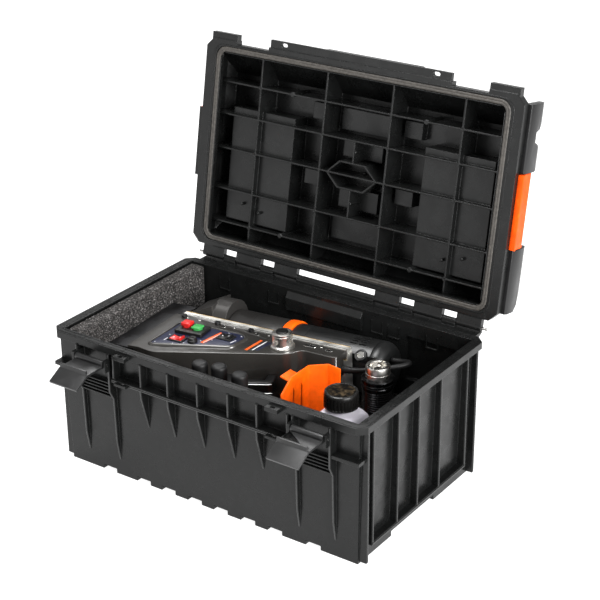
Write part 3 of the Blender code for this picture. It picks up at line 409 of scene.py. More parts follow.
# A fine step runs round the lid's rim outside the seal.
bm = bmesh.new()
bead(bm, 0.2700, 0.1612, 0.018, [
    (-0.0013, 0.2249), (-0.0013, 0.2243), (-0.0007, 0.2241), (0.0007, 0.2241), (0.0013, 0.2243),
    (0.0013, 0.2249),
], (0, 0.0015))
piece("lid_rim_step", bm, lid_plastic, "lid", "lid_plastic", place=lid_open)

# ---- Lid gasket ----
# A grey-brown foam-rubber seal is pressed into the lid's groove. It has a
# shallow furrow along its crown and closes on the tub's rim.
gasket_rubber, shader = shade("gasket_rubber", (0.050, 0.046, 0.041), 0.5, gloss=0.4)
grain(gasket_rubber, shader, clouds(gasket_rubber, 0.0012, 5), 0.0001)
tint(gasket_rubber, clouds(gasket_rubber, 0.004, 5), shader,
     ((0.3, (0.032, 0.029, 0.026)), (0.55, (0.056, 0.051, 0.045)), (0.75, (0.085, 0.078, 0.068))))
GASKET_CROWN, GASKET_BASE = 0.2240, 0.2277
bm = bmesh.new()
bead(bm, 0.26155, 0.15555, 0.0150, [
    (-0.0040, GASKET_BASE), (-0.0042, 0.2254), (-0.0030, 0.2243), (-0.0012, GASKET_CROWN), (0, 0.2246),
    (0.0012, GASKET_CROWN), (0.0030, 0.2243), (0.0042, 0.2254), (0.0040, GASKET_BASE),
], (0, 0.002))
piece("gasket", bm, gasket_rubber, "lid", "seal", "lid_gasket", place=lid_open)


# ---- Lid end frames and handles ----
# Black frames are screwed over the lid's end walls and carry an orange handle
# each. The black carrying handle swings on two ears at the front. All are
# glass-filled nylon with rounded edges.
WELD = 1e-6


def cad_mesh(node, place=Matrix.Identity(4)):
    """A copy of a CAD node's mesh, with the edges inside its flat faces dissolved."""
    bm = bmesh.new()
    bm.from_mesh(nodes[node].data)
    bm.transform(place)
    bmesh.ops.remove_doubles(bm, verts=bm.verts, dist=WELD)
    bmesh.ops.dissolve_limit(bm, angle_limit=radians(1), verts=bm.verts, edges=bm.edges)
    return bm


def round_edges(bm, edges, width, steps):
    bmesh.ops.bevel(
        bm, geom=edges, offset=width, segments=steps, profile=0.5, affect="EDGES", clamp_overlap=True,
    )


def turns_by(edge, angle):
    """Whether the two faces at an edge turn by more than an angle."""
    return len(edge.link_faces) == 2 and edge.calc_face_angle() > radians(angle)


def softened(name, node, body, slot, material, width, steps=2):
    """A CAD node with its edges rounded by a width, standing for it."""
    bm = cad_mesh(node)
    round_edges(bm, [edge for edge in bm.edges if turns_by(edge, 28)], width, steps)
    return piece(name, bm, material, body, slot, node)


trim_plastic = moulded("trim_plastic", (0.0060, 0.0060, 0.0062), 0.34, edge=0.0007, gloss=0.4)
orange_plastic = moulded("orange_plastic", (0.98, 0.120, 0.002), 0.42, 0.0008, 0.00004, 0.0006, gloss=0.2)
handle_orange = moulded("handle_orange", (0.86, 0.080, 0.002), 0.50, 0.0008, 0.00004, 0.0006, gloss=0.15)
for word in ("left", "right"):
    softened(f"end_frame_{word}", f"lid_side_frame_{word}", "lid", "trim_plastic", trim_plastic, 0.0012, 3)
    handle = f"side_handle_{word}"
    softened(f"end_handle_{word}", handle, f"{handle}_body", "orange_plastic", handle_orange, 0.0008)
softened("lid_carry_handle", "carry_handle", "carry_handle_body", "trim_plastic", trim_plastic, 0.0014, 3)

# ---- Latches ----
# Two tough nylon latches hang open on steel pins in front. Each is moulded in
# one piece, with a hooked arm and a bent finger tip.
latch_plastic = moulded("latch_plastic", (0.0125, 0.0126, 0.0128), 0.38, edge=0.0006, gloss=0.55)
for word in ("left", "right"):
    latch = f"latch_{word}"
    softened(f"case_{latch}", latch, f"{latch}_body", "trim_plastic", latch_plastic, 0.0009, 3)
    finish_node(f"latch_pin_{word}", ground_steel)

# ---- Foam ----
# Re-bonded foam: dark crumbs with pale flecks are pressed into blocks. The
# blocks are cut to shape and lie loose in the tub, with slightly rounded,
# ragged edges.
foam, shader = shade("foam", (0.02, 0.02, 0.021), 0.95, gloss=0.1)
crumbs = foam.node_tree.nodes.new("ShaderNodeTexVoronoi")
crumbs.inputs["Scale"].default_value = 1 / 0.0019
crumbs.inputs["Randomness"].default_value = 1.0
crumb_place = foam.node_tree.nodes.new("ShaderNodeTexCoord")
wire(foam, crumb_place.outputs["Object"], crumbs.inputs["Vector"])
one_crumb = foam.node_tree.nodes.new("ShaderNodeSeparateColor")
wire(foam, crumbs.outputs["Color"], one_crumb.inputs["Color"])
tint(foam, one_crumb.outputs["Red"], shader, (
    (0.0, (0.010, 0.010, 0.010)), (0.45, (0.026, 0.025, 0.024)), (0.75, (0.055, 0.050, 0.048)),
    (0.92, (0.10, 0.095, 0.092)), (1.0, (0.19, 0.18, 0.18)),
))
grain(foam, shader, clouds(foam, 0.0022, 6), 0.0011)
softened("foam_end_block", "foam_end_pad", "case", "foam", foam, 0.0028, 3)
finish_node("foam_bed", foam)

# ---- Drill press: its own frame ----
# The press is drawn upright in its own frame and laid down in the case: x
# runs from the magnet's sole up the machine, y towards the spindle, and z
# across it, which is up here. The joints fix where that frame lies.
HUB_X, HUB_Y, HUB_MARK = 0.2535, 0.011, 0.06
up_machine = Vector(joints["feed_slide"]["axis"]).normalized()
across_machine = Vector(joints["hub_turn"]["axis"]).normalized()
spindle_side = across_machine.cross(up_machine)
press = Matrix((up_machine, spindle_side, across_machine)).transposed().to_4x4()
press.translation = Vector(joints["hub_turn"]["pos_m"]) - press @ Vector((HUB_X, HUB_Y, HUB_MARK))

# ---- Magnet ----
# A steel pot magnet, blackened and ground on its sole, with an enamelled
# copper winding potted inside. The stand is bolted on top of it.
magnet_steel = brushed("magnet_steel", (0.050, 0.050, 0.052), 0.40, 0.0004, 0.00003, 0.0008)
finish_node("magnet_base", magnet_steel)
winding, shader = shade("winding", (0.30, 0.12, 0.04), 0.35, 0.7)
grain(winding, shader, clouds(winding, 0.0006, 2, (1, 0.1, 1)), 0.0002)
finish_node("magnet_coil", winding)

# ---- Stand housing ----
# A die-cast housing in brown-grey metallic lacquer. Its upper edge is a broad
# polished-looking round, and a raised bezel is cast round the control panel.
HALF = 0.045
ROUND_EDGE, ROUND_CORNER = 0.0042, 0.009
casting, shader = shade("casting", (0.062, 0.058, 0.053), 0.42, 0.4)
shader.inputs["Coat Weight"].default_value = 1.0
shader.inputs["Coat Roughness"].default_value = 0.11
shader.inputs["Coat IOR"].default_value = 1.65
grain(casting, shader, clouds(casting, 0.0009, 3), 0.00005, 0.0006)
tint(casting, clouds(casting, 0.0007, 2), shader,
     ((0.3, (0.034, 0.032, 0.029)), (0.55, (0.044, 0.041, 0.037)), (0.75, (0.062, 0.058, 0.053))))
spread(casting, clouds(casting, 0.02, 4), shader.inputs["Roughness"], 0.29, 0.42)

bm = cad_mesh("stand_housing", press.inverted())


def on_side(point):
    """Whether a point of the housing is on its outer side walls, away from the slide."""
    return point.y < 0.016 and (point.y < -0.0075 + (point.x - 0.2715) * 0.44 + 0.002 or point.x > 0.268)


corners = [
    edge for edge in bm.edges
    if abs(edge.verts[0].co.z - edge.verts[1].co.z) > 0.08 and edge.verts[0].co.x > 0.08
    and on_side(edge.verts[0].co)
]
round_edges(bm, corners, ROUND_CORNER, 5)
shoulder = [
    edge for edge in bm.edges
    if all(abs(vert.co.z - HALF) < 1e-4 and on_side(vert.co) for vert in edge.verts)
    and turns_by(edge, 60) and max(vert.co.x for vert in edge.verts) > 0.047
]
round_edges(bm, shoulder, ROUND_EDGE, 5)
piece("housing", bm, casting, "stand", "casting", "stand_housing", place=press, sharp=40)
finish_node("stand_cover", casting)


def inset(outline, distance):
    """An outline moved inwards by a distance, or outwards by a negative one."""
    area = sum(a[0] * b[1] - b[0] * a[1] for a, b in zip(outline, outline[1:] + outline[:1]))
    points = [Vector(point) for point in (outline if area > 0 else outline[::-1])]
    moved = []
    for before, here, after in zip(points[-1:] + points[:-1], points, points[1:] + points[:1]):
        first, second = (here - before).normalized(), (after - here).normalized()
        left, ahead_left = Vector((-first.y, first.x)), Vector((-second.y, second.x))
        moved.append(tuple(here + (left + ahead_left) * (distance / (1 + left.dot(ahead_left)))))
    return moved


def filleted(outline, cut, steps=5):
    """An outline with each corner rounded from a cut's length before it to the same after it."""
    made = []
    points = [Vector(point) for point in outline]
    for before, here, after in zip(points[-1:] + points[:-1], points, points[1:] + points[:1]):
        start = here + (before - here).normalized() * cut
        end = here + (after - here).normalized() * cut
        for step in range(steps + 1):
            u = step / steps
            made.append(tuple((1 - u) ** 2 * start + 2 * u * (1 - u) * here + u ** 2 * end))
    return made


def slab(bm, outline, low, high, edge, place=Matrix.Identity(4)):
    """A plate with a rounded upper edge."""
    levels = [(0, low), (0, high - edge)] + [
        (edge * (1 - cos(radians(a))), high - edge + edge * sin(radians(a))) for a in (30, 60, 90)
    ]
    skin(bm, [[place @ Vector((x, y, height)) for x, y in inset(outline, out)] for out, height in levels])


def carve(made, *cutters):
    """Cuts shapes out of a finished piece."""
    for bm in cutters:
        bmesh.ops.recalc_face_normals(bm, faces=bm.faces)
        mesh = bpy.data.meshes.new("cutter")
        bm.to_mesh(mesh)
        bm.free()
        cutter = bpy.data.objects.new("cutter", mesh)
        scene.collection.objects.link(cutter)
        step = made.modifiers.new("carve", "BOOLEAN")
        step.operation = "DIFFERENCE"
        step.solver = "EXACT"
        step.object = cutter
        graph = bpy.context.evaluated_depsgraph_get()
        cut_mesh = bpy.data.meshes.new_from_object(made.evaluated_get(graph))
        made.modifiers.clear()
        made.data = cut_mesh
        bpy.data.objects.remove(cutter)
    made.data.shade_smooth()
    made.data.set_sharp_from_angle(angle=radians(32))


PANEL = [(0.0655, -0.0690), (0.1820, -0.0240), (0.1868, 0.0080), (0.1770, 0.0160), (0.0670, 0.0140)]
bezel_line = filleted(PANEL, 0.006)
bm = bmesh.new()
skin(bm, [
    [(x, y, height) for x, y in inset(bezel_line, -out)]
    for out, height in (
        (0.0006, 0.0447), (0.0006, 0.0470), (0.0014, 0.0482), (0.0030, 0.0484), (0.0046, 0.0474),
        (0.0056, 0.0458), (0.0060, 0.0447),
    )
], closed=True)
piece("panel_bezel", bm, casting, "stand", "casting", place=press, sharp=60)

# Oval slots for the gib screws' keys along the slide, each with a bright machined rim.
# The slots are not cut: a thin black oval on the surface is painted shade in each.
machined = brushed("machined", (0.66, 0.65, 0.62), 0.22, 0.0004, 0.00002, 0.0002)
# black used as painted shade inside the key slots, and for the dark joint line along the slide
shade_and_joint_black, shader = shade("shade_and_joint_black", (0.004, 0.004, 0.004), 0.7, gloss=0.1)
grain(shade_and_joint_black, shader, clouds(shade_and_joint_black, 0.0005), 0.00005)
KEY_SLOTS = (
    (0.1315, 0.0335, 0.0045, 0.0022), (0.1935, 0.0325, 0.0045, 0.0022),
    (0.2880, 0.0325, 0.0105, 0.0026), (0.3220, 0.0310, 0.0060, 0.0022),
)
rims, slot_shade = bmesh.new(), bmesh.new()
for x, y, half_long, half_wide in KEY_SLOTS:
    oval = round_rectangle(half_long, half_wide, half_wide * 0.96, (x, y), 4)
    slab(slot_shade, oval, HALF - 0.0004, HALF + 0.0002, 0.0001)
    skin(rims, [[(a, b, height) for a, b in inset(oval, -out)]
                for out, height in ((-0.0001, HALF - 0.0003), (0, HALF + 0.0004), (0.0006, HALF + 0.0004),
                                    (0.0008, HALF - 0.0003))], closed=True)
piece("key_slot_rims", rims, machined, "stand", "steel", place=press)
# black ovals: painted shade where the slots' hollows would be
piece("key_slot_shade", slot_shade, shade_and_joint_black, "stand", "trim_plastic", place=press)
for count in (1, 2, 3):
    finish_node(f"gib_screw_{count}", trim_plastic)
bm = bmesh.new()
for x in (0.062, 0.0850, 0.150, 0.2130, 0.3060):
    turn(bm, [
        (0.0019, HALF - 0.0005), (0.0019, HALF + 0.0006), (0.0014, HALF + 0.0011),
        (0.0001, HALF + 0.0011),
    ], at(x, 0.0360), 16)
piece("edge_pins", bm, machined, "stand", "steel", place=press)

brass = brushed("brass", (0.72, 0.50, 0.22), 0.28, 0.0004, 0.00002, 0.0003)
finish_node("gib_strip", brass)

# ---- Control panel ----
# A satin navy label over an alloy plate. It carries a diagonal orange and
# white stripe and small white marks, and a second pair of stripes is stuck on
# the housing beside it.
PANEL_TOP = 0.0475
navy, shader = shade("navy", (0.0120, 0.0150, 0.0400), 0.34, gloss=0.5)
grain(navy, shader, clouds(navy, 0.0008), 0.00002)
spread(navy, clouds(navy, 0.01, 4), shader.inputs["Roughness"], 0.28, 0.42)
ROCKERS = {"magnet_rocker": (0.0962, -0.0405), "mode_rocker": (0.1610, -0.0035)}
bm = bmesh.new()
slab(bm, bezel_line, 0.0453, PANEL_TOP, 0.0003)
panel = piece("panel_label", bm, navy, "stand", "navy_label", "control_panel", place=press)
for x, y in ROCKERS.values():
    hole = bmesh.new()
    block(hole, (x - 0.0108, x + 0.0108), (y - 0.0074, y + 0.0074), (0.040, 0.052))
    hole.transform(press)
    carve(panel, hole)

INK = 0.00018
ink_orange, shader = shade("ink_orange", (0.85, 0.11, 0.008), 0.4)
grain(ink_orange, shader, clouds(ink_orange, 0.0006), 0.00002)
ink_white, shader = shade("ink_white", (0.68, 0.68, 0.70), 0.4)
grain(ink_white, shader, clouds(ink_white, 0.0006), 0.00002)


def stripe(bm, start, end, width, level):
    """A printed line between two points, cut square to the panel's long side."""
    line = Vector(end) - Vector(start)
    side = Vector((line.y, -line.x)).normalized() * width / 2
    outline = [Vector(start) - side, Vector(start) + side, Vector(end) + side, Vector(end) - side]
    skin(bm, [[(p.x, p.y, height) for p in outline] for height in (level - 0.0001, level + INK)])


bm = bmesh.new()
stripe(bm, (0.1375, -0.0355), (0.1455, 0.0080), 0.0062, PANEL_TOP)
stripe(bm, (0.2085, -0.0225), (0.2120, 0.0170), 0.0042, HALF)
piece("orange_stripes", bm, ink_orange, "stand", "orange_plastic", place=press)
bm = bmesh.new()
stripe(bm, (0.1395, -0.0340), (0.1470, 0.0075), 0.0010, PANEL_TOP + INK)
stripe(bm, (0.2175, -0.0185), (0.2215, 0.0170), 0.0020, HALF)
for x, y in ((0.0700, -0.0630), (0.0760, -0.0320), (0.0980, -0.0560), (0.1130, -0.0480), (0.1130, -0.0340),
             (0.1320, -0.0300), (0.1800, 0.0100), (0.1560, 0.0120), (0.1460, -0.0200)):
    turn(bm, [(0.0010, PANEL_TOP - 0.0001), (0.0010, PANEL_TOP + INK)], at(x, y), 12)
stripe(bm, (0.1770, -0.0170), (0.1800, -0.0050), 0.0014, PANEL_TOP)
stripe(bm, (0.0790, -0.0520), (0.0800, -0.0430), 0.0014, PANEL_TOP)
piece("white_marks", bm, ink_white, "stand", "white_plastic", place=press)
bm = bmesh.new()
stripe(bm, (0.2240, -0.0165), (0.2280, 0.0160), 0.0050, HALF)
piece("navy_stripe", bm, navy, "stand", "navy_label", place=press)

# ---- Buttons ----
# A raised black box holds a square red stop button and a lower green start
# button. Each is a moulded cap on a round sprung stem.
BUTTONS = {
    "stop_button": ((0.0900, -0.0030), 0.0556, 0.0602),
    "start_button": ((0.1100, -0.0050), 0.0552, 0.0576),
}
BOX_TOP = 0.0530
bm = bmesh.new()
slab(bm, filleted([(0.0770, 0.0090), (0.0780, -0.0235), (0.1275, -0.0225), (0.1245, 0.0100)], 0.002, 3),
     0.0478, BOX_TOP, 0.0008)
button_box = piece("button_box", bm, trim_plastic, "stand", "trim_plastic", "switch_box", place=press)
for (x, y), low, high in BUTTONS.values():
    hole = bmesh.new()
    turn(hole, [(0.0087, 0.0470), (0.0087, 0.0550)], at(x, y), 32)
    hole.transform(press)
    carve(button_box, hole)
red_plastic = moulded("red_plastic", (0.62, 0.018, 0.016), 0.27, edge=0.0003, gloss=0.5)
green_plastic = moulded("green_plastic", (0.045, 0.34, 0.075), 0.3, edge=0.0003, gloss=0.5)
for (name, ((x, y), low, high)), colour, slot in zip(
    BUTTONS.items(), (red_plastic, green_plastic), ("red_plastic", "green_plastic")
):
    bm = bmesh.new()
    turn(bm, [(0.0080, 0.0505), (0.0080, low + 0.0002)], at(x, y), 32)
    slab(bm, round_rectangle(0.0078, 0.0076, 0.0016, (x, y)), low, high, 0.0012)
    piece(f"{name}_cap", bm, colour, f"{name}_body", slot, name, place=press)

# ---- Rocker switches and fuse ----
# Snap-in rocker switches sit in black bezels: red for the magnet, black for
# the mode. The fuse holder's cap has a screwdriver slot.
TILT = radians(-7)  # both rockers stand tipped to one side
ROCKER_PIVOT = 0.0475
for name, (x, y) in ROCKERS.items():
    bm = bmesh.new()
    frame_line = round_rectangle(0.0136, 0.0098, 0.0018, (x, y))
    opening = round_rectangle(0.0108, 0.0074, 0.0008, (x, y))
    skin(bm, [[(a, b, height) for a, b in line] for line, height in (
        (opening, 0.0460), (opening, 0.0492), (inset(opening, -0.0005), 0.0497),
        (inset(frame_line, 0.0008), 0.0495), (frame_line, 0.0487), (frame_line, 0.0473),
    )], closed=True)
    piece(f"{name}_bezel", bm, trim_plastic, "stand", "trim_plastic", place=press)
    bm = bmesh.new()
    crown = [(-0.0100, -0.0018), (0.0100, -0.0018), (0.0100, 0.0036), (0.0090, 0.0042), (0.0050, 0.0028),
             (0.0012, 0.0019), (-0.0012, 0.0019), (-0.0050, 0.0028), (-0.0090, 0.0042), (-0.0100, 0.0036)]
    half_wide, edge = 0.0067, 0.0006
    skin(bm, [[(a, b, h) for a, h in inset(crown, out)] for out, b in (
        (edge, -half_wide), (edge * 0.3, edge * 0.3 - half_wide), (0, edge - half_wide),
        (0, half_wide - edge), (edge * 0.3, half_wide - edge * 0.3), (edge, half_wide),
    )])
    rocker_place = press @ at(x, y, ROCKER_PIVOT) @ Matrix.Rotation(TILT, 4, "Y")
    red = name == "magnet_rocker"
    piece(f"{name}_key", bm, red_plastic if red else trim_plastic, f"{name}_body",
          "red_plastic" if red else "trim_plastic", name, place=rocker_place)
    bm = bmesh.new()
    for a, b in ((-0.0060, 0.0030), (0.0060, 0.0030)):
        turn(bm, [(0.0011, 0.0024), (0.0011, 0.00345)], at(a, 0.0, 0.0), 12)
    piece(f"{name}_marks", bm, ink_white, f"{name}_body", "white_plastic", place=rocker_place)

FUSE = (0.1230, -0.0390)
bm = bmesh.new()
turn(bm, [
    (0.0078, 0.0478), (0.0078, 0.0512), (0.0066, 0.0518), (0.0064, 0.0545), (0.0056, 0.0552),
    (0.0001, 0.0552),
], at(*FUSE), 40)
fuse = piece("fuse_holder", bm, trim_plastic, "stand", "trim_plastic", "fuse_cap", place=press)
hole = bmesh.new()
block(hole, (FUSE[0] - 0.0048, FUSE[0] + 0.0048), (FUSE[1] - 0.0007, FUSE[1] + 0.0007), (0.0540, 0.0560))
hole.transform(press)
carve(fuse, hole)

board_green = moulded("board_green", (0.02, 0.11, 0.045), 0.4)
finish_node("control_board", board_green)

# ---- Rear handle ----
# A glossy black grip, moulded in nylon and bolted behind the stand. Two thin
# bright metal strips along it are painted highlights on the grip's edges.
softened("rear_grip", "rear_handle", "stand", "trim_plastic", trim_plastic, 0.0024, 4)
# bright metal strips standing in for highlights along the grip's edges
grip_highlight_metal = brushed("grip_highlight_metal", (0.42, 0.42, 0.42), 0.30, 0.0008, 0.00001, 0.0)
GRIP_START = Vector((0.187, -0.0449))
GRIP_ALONG, GRIP_OUT = Vector((0.9142, 0.4052)), Vector((0.4052, -0.9142))
bm = bmesh.new()
for z in (-0.0060, 0.0085):
    line = []
    for s, n in ((0.0040, 0.0292), (0.0100, 0.0306), (0.0380, 0.0308), (0.0660, 0.0306), (0.0720, 0.0292)):
        spot = GRIP_START + s * GRIP_ALONG + n * GRIP_OUT
        line.append(Vector((spot.x, spot.y, z)))
    skin(bm, [
        [spot + 0.0007 * (cos(t) * Vector((GRIP_OUT.x, GRIP_OUT.y, 0)) + sin(t) * Vector((0, 0, 1)))
         for t in [2 * pi * k / 10 for k in range(10)]]
        for spot in line
    ])
piece("grip_highlight_strips", bm, grip_highlight_metal, "stand", "steel", place=press)

# ---- Feed hub ----
# A turned and polished steel hub on the pinion shaft, with three tapped side
# holes for the feed handles and a black cap.
polished = brushed("polished", (0.74, 0.72, 0.68), 0.27, 0.0008, 0.000004, 0.0003, (1, 1, 0.2))
finish_node("feed_pinion_shaft", ground_steel)
bm = bmesh.new()
turn(bm, [
    (0.0102, 0.0453), (0.0180, 0.0453), (0.0184, 0.0460), (0.0184, 0.0486), (0.0176, 0.0494),
    (0.0162, 0.0502), (0.0157, 0.0514), (0.0155, 0.0530), (0.0155, 0.0658), (0.0151, 0.0662),
    (0.0151, 0.0668), (0.0155, 0.0672), (0.0155, 0.0696), (0.0146, 0.0706), (0.0100, 0.0708),
    (0.0092, 0.0700), (0.0092, 0.0640), (0.0102, 0.0638),
], at(HUB_X, HUB_Y), 72, closed=True)
ALONG_X = Matrix.Rotation(radians(90), 4, "Y")
hub = piece("hub", bm, polished, "hub", "steel", "feed_hub", place=press)
for angle in (20, 140, 260):
    hole = bmesh.new()
    spoke = at(HUB_X, HUB_Y, 0.0590) @ Matrix.Rotation(radians(angle), 4, "Z") @ ALONG_X
    turn(hole, [(0.0046, 0.0112), (0.0046, 0.0144), (0.0056, 0.0200)], spoke, 28)
    hole.transform(press)
    carve(hub, hole)
bm = bmesh.new()
turn(bm, [
    (0.0087, 0.0663), (0.0089, 0.0705), (0.0094, 0.0709), (0.0094, 0.0718), (0.0084, 0.0726),
    (0.0030, 0.0729), (0.0001, 0.0729),
], at(HUB_X, HUB_Y), 48)
piece("hub_plug", bm, trim_plastic, "hub", "trim_plastic", "hub_cap", place=press)

# ---- Slide bar ----
# The slide is a milled and ground steel bar with a dovetail, held against a
# brass strip in the stand. A brass wear line shows along its outer edge.
slide_steel = brushed("slide_steel", (0.88, 0.87, 0.83), 0.50, 0.0006, 0.00003, 0.0004, (0.08, 1, 1))
finish_node("slide_bar", slide_steel)
finish_node("feed_rack", ground_steel)
BAR_TOP = 0.0462
bm = bmesh.new()
block(bm, (0.0478, 0.3457), (0.0536, 0.0546), (BAR_TOP - 0.0004, BAR_TOP + 0.0004))
piece("brass_line", bm, brass, "carriage", "brass", place=press)
bm = bmesh.new()
block(bm, (0.0478, 0.3457), (0.0447, 0.0453), (BAR_TOP - 0.0004, BAR_TOP + 0.0003))
piece("slide_joint_line", bm, shade_and_joint_black, "carriage", "trim_plastic", place=press)

# ---- Gearbox and arbor bracket ----
# A round cast gearbox is bolted to the slide. Below it an arched cast bracket
# guides the arbor.
SPINDLE_Y = 0.093


def clipped_ring(x, radius, flat, sides=96):
    """A circle about the spindle at x, cut flat on the side that faces the slide."""
    ring = []
    for i in range(sides):
        angle = 2 * pi * (i + 0.5) / sides
        ring.append((x, max(SPINDLE_Y + radius * cos(angle), flat), radius * sin(angle)))
    return ring


def round_shell(bm, outer, inner, outer_flat, inner_flat):
    """A hollow round shell from two profiles of (x, radius), each cut flat at its own height."""
    skin(bm, [clipped_ring(x, r, outer_flat) for x, r in outer]
         + [clipped_ring(x, r, inner_flat) for x, r in inner], closed=True)


gear_paint, shader = shade("gear_paint", (0.020, 0.019, 0.018), 0.36, 0.3, 0.4)
grain(gear_paint, shader, clouds(gear_paint, 0.0009, 3), 0.00005, 0.0008)
spread(gear_paint, clouds(gear_paint, 0.02, 4), shader.inputs["Roughness"], 0.32, 0.45)
bm = bmesh.new()
outer = [
    (0.1150, 0.0405), (0.1153, 0.0432), (0.1170, 0.0443), (0.1190, 0.0445), (0.1560, 0.0445),
    (0.1566, 0.0441), (0.1578, 0.0441), (0.1584, 0.0445), (0.2100, 0.0445), (0.2114, 0.0438),
    (0.2117, 0.0430),
]
inner = [(0.2117, 0.0407), (0.1240, 0.0407), (0.1240, 0.0112), (0.1150, 0.0112)]
round_shell(bm, outer, inner, 0.0584, 0.0620)
piece("gearbox", bm, gear_paint, "carriage", "casting", "gearbox_housing", place=press)
bracket_paint, shader = shade("bracket_paint", (0.040, 0.038, 0.036), 0.36, 0.4, 0.4)
grain(bracket_paint, shader, clouds(bracket_paint, 0.0009, 3), 0.00006, 0.0014)
softened("bracket", "arbor_bracket", "carriage", "casting", bracket_paint, 0.0016, 3)
for name in ("arbor", "spindle_gear", "countershaft"):
    finish_node(name, polished)

# ---- Orange band ----
# A satin orange ring, moulded in plastic and clamped between the gearbox and
# the motor.
bm = bmesh.new()
outer = [
    (0.2120, 0.0440), (0.2124, 0.0450), (0.2134, 0.0454), (0.2266, 0.0454), (0.2276, 0.0450),
    (0.2280, 0.0440),
]
inner = [(0.2280, 0.0388), (0.2120, 0.0388)]
round_shell(bm, outer, inner, 0.0622, 0.0670)
piece("motor_band", bm, orange_plastic, "carriage", "orange_plastic", "orange_band", place=press)

# ---- Motor ----
# A black nylon motor shell in two halves with a seam between them, cooling
# slots on both sides, a brush holder in a boss and a blunt end cap.
MOTOR_R = 0.0425
motor_plastic = moulded("motor_plastic", (0.0075, 0.0078, 0.0078), 0.33, 0.0007, 0.00010, 0.0006, gloss=0.5)
bm = bmesh.new()
outer = [
    (0.2283, 0.0412), (0.2290, 0.0422), (0.2305, MOTOR_R), (0.2532, MOTOR_R), (0.2537, 0.0419),
    (0.2549, 0.0419), (0.2554, MOTOR_R), (0.3715, MOTOR_R), (0.3724, 0.0421), (0.3727, 0.0414),
]
inner = [(0.3727, 0.0389), (0.2283, 0.0389)]
round_shell(bm, outer, inner, 0.0641, 0.0670)
motor = piece("motor_shell", bm, motor_plastic, "carriage", "trim_plastic", "motor_housing", place=press)
slots = bmesh.new()
for row in range(5):
    y = 0.0800 + 0.0058 * row
    for x in (0.3300, 0.3460):
        for low, high in ((0.030, 0.050), (-0.050, -0.030)):
            block(slots, (x, x + 0.0115), (y - 0.0013, y + 0.0013), (low, high))
slots.transform(press)
carve(motor, slots)

bm = bmesh.new()
outer = [
    (0.3730, 0.0414), (0.3733, 0.0422), (0.3745, MOTOR_R), (0.3795, MOTOR_R), (0.3830, 0.0416),
    (0.3870, 0.0396), (0.3905, 0.0365), (0.3930, 0.0325), (0.3938, 0.0290), (0.3940, 0.0100),
    (0.3940, 0.0001),
]
skin(bm, [clipped_ring(x, r, 0.0641 if r > 0.0289 else 0.0) for x, r in outer])
end_cap = piece("motor_end", bm, motor_plastic, "carriage", "trim_plastic", "motor_end_cap", place=press)
pocket = bmesh.new()
turn(pocket, [(0.0050, 0.3700), (0.0050, 0.3862)], at(0, SPINDLE_Y) @ ALONG_X, 24)
pocket.transform(press)
carve(end_cap, pocket)

# The brush holder stands square to the motor's skin, with a slotted plated cap.
brush_way = Vector((0, -0.700, 0.714))
brush_frame = Matrix((
    Vector((1, 0, 0)), brush_way.cross(Vector((1, 0, 0))), brush_way
)).transposed().to_4x4()
brush_frame.translation = (0.3590, SPINDLE_Y, 0)
bm = bmesh.new()
turn(bm, [
    (0.0098, 0.0390), (0.0098, 0.0455), (0.0090, 0.0468), (0.0066, 0.0470), (0.0064, 0.0455),
    (0.0064, 0.0390),
], brush_frame, 40, closed=True)
piece("brush_boss", bm, motor_plastic, "carriage", "trim_plastic", place=press)
bm = bmesh.new()
turn(bm, [(0.0061, 0.0392), (0.0061, 0.0458), (0.0054, 0.0465), (0.0001, 0.0465)], brush_frame, 32)
brush = piece("brush_screw", bm, machined, "carriage", "trim_plastic", "brush_cap", place=press)
hole = bmesh.new()
block(hole, (-0.0050, 0.0050), (-0.0008, 0.0008), (0.0450, 0.0480))
hole.transform(press @ brush_frame)
carve(brush, hole)
finish_node("stator", winding)
finish_node("armature", winding)

# ---- Motor lead ----
# A short rubber lead carries power from the stand's end to the motor's end
# cap, in a slack loop that opens as the carriage rises. Here it is drawn as
# one fixed tube that does not move with the carriage. A ribbed sleeve
# relieves it where it leaves the stand.
LEAD = 0.008
route = [Vector(point) for point in (
    (0.3460, 0.0300, 0.0200), (0.3650, 0.0308, 0.0213), (0.3900, 0.0385, 0.0250), (0.4150, 0.0500, 0.0285),
    (0.4300, 0.0620, 0.0300), (0.4345, 0.0730, 0.0295), (0.4280, 0.0830, 0.0260), (0.4150, 0.0890, 0.0220),
    (0.3965, 0.0892, 0.0205),
)]


def smooth_line(points, steps):
    """A curve through points, with a number of steps between each two."""
    line = []
    padded_points = [2 * points[0] - points[1]] + points + [2 * points[-1] - points[-2]]
    for a, b, c, d in zip(padded_points, padded_points[1:], padded_points[2:], padded_points[3:]):
        for step in range(steps):
            u = step / steps
            line.append(0.5 * (2 * b + (c - a) * u + (2 * a - 5 * b + 4 * c - d) * u ** 2
                               + (3 * b - a - 3 * c + d) * u ** 3))
    return line + [points[-1]]


rubber = moulded("rubber", (0.0068, 0.0068, 0.0070), 0.48, 0.0005, 0.00008, 0.0, gloss=0.3)
lead_line = [press @ point for point in smooth_line(route, 4)]
bm = bmesh.new()
sleeve(bm, lead_line, [LEAD / 2] * len(lead_line))
bmesh.ops.recalc_face_normals(bm, faces=bm.faces)
lead_mesh = bpy.data.meshes.new("lead")
bm.to_mesh(lead_mesh)
bm.free()
lead_mesh.shade_smooth()
lead_mesh.materials.append(rubber)
lead = bpy.data.objects.new("lead", lead_mesh)
scene.collection.objects.link(lead)
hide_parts("motor_lead")
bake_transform(lead)
relief_line = smooth_line(route[:3], 9)[:13]
SLIDE_CLEAR = 0.0336  # the side towards the slide is flat, and the bar passes over it
relief_radii = [0.0064 - 0.0020 * i / 12 - (0.0005 if i % 3 == 1 else 0) for i in range(13)]
bm = bmesh.new()
sleeve(bm, relief_line, relief_radii)
for corner in bm.verts:
    corner.co.y = min(corner.co.y, SLIDE_CLEAR)
relief = piece("lead_relief", bm, rubber, "stand", "rubber", place=press)

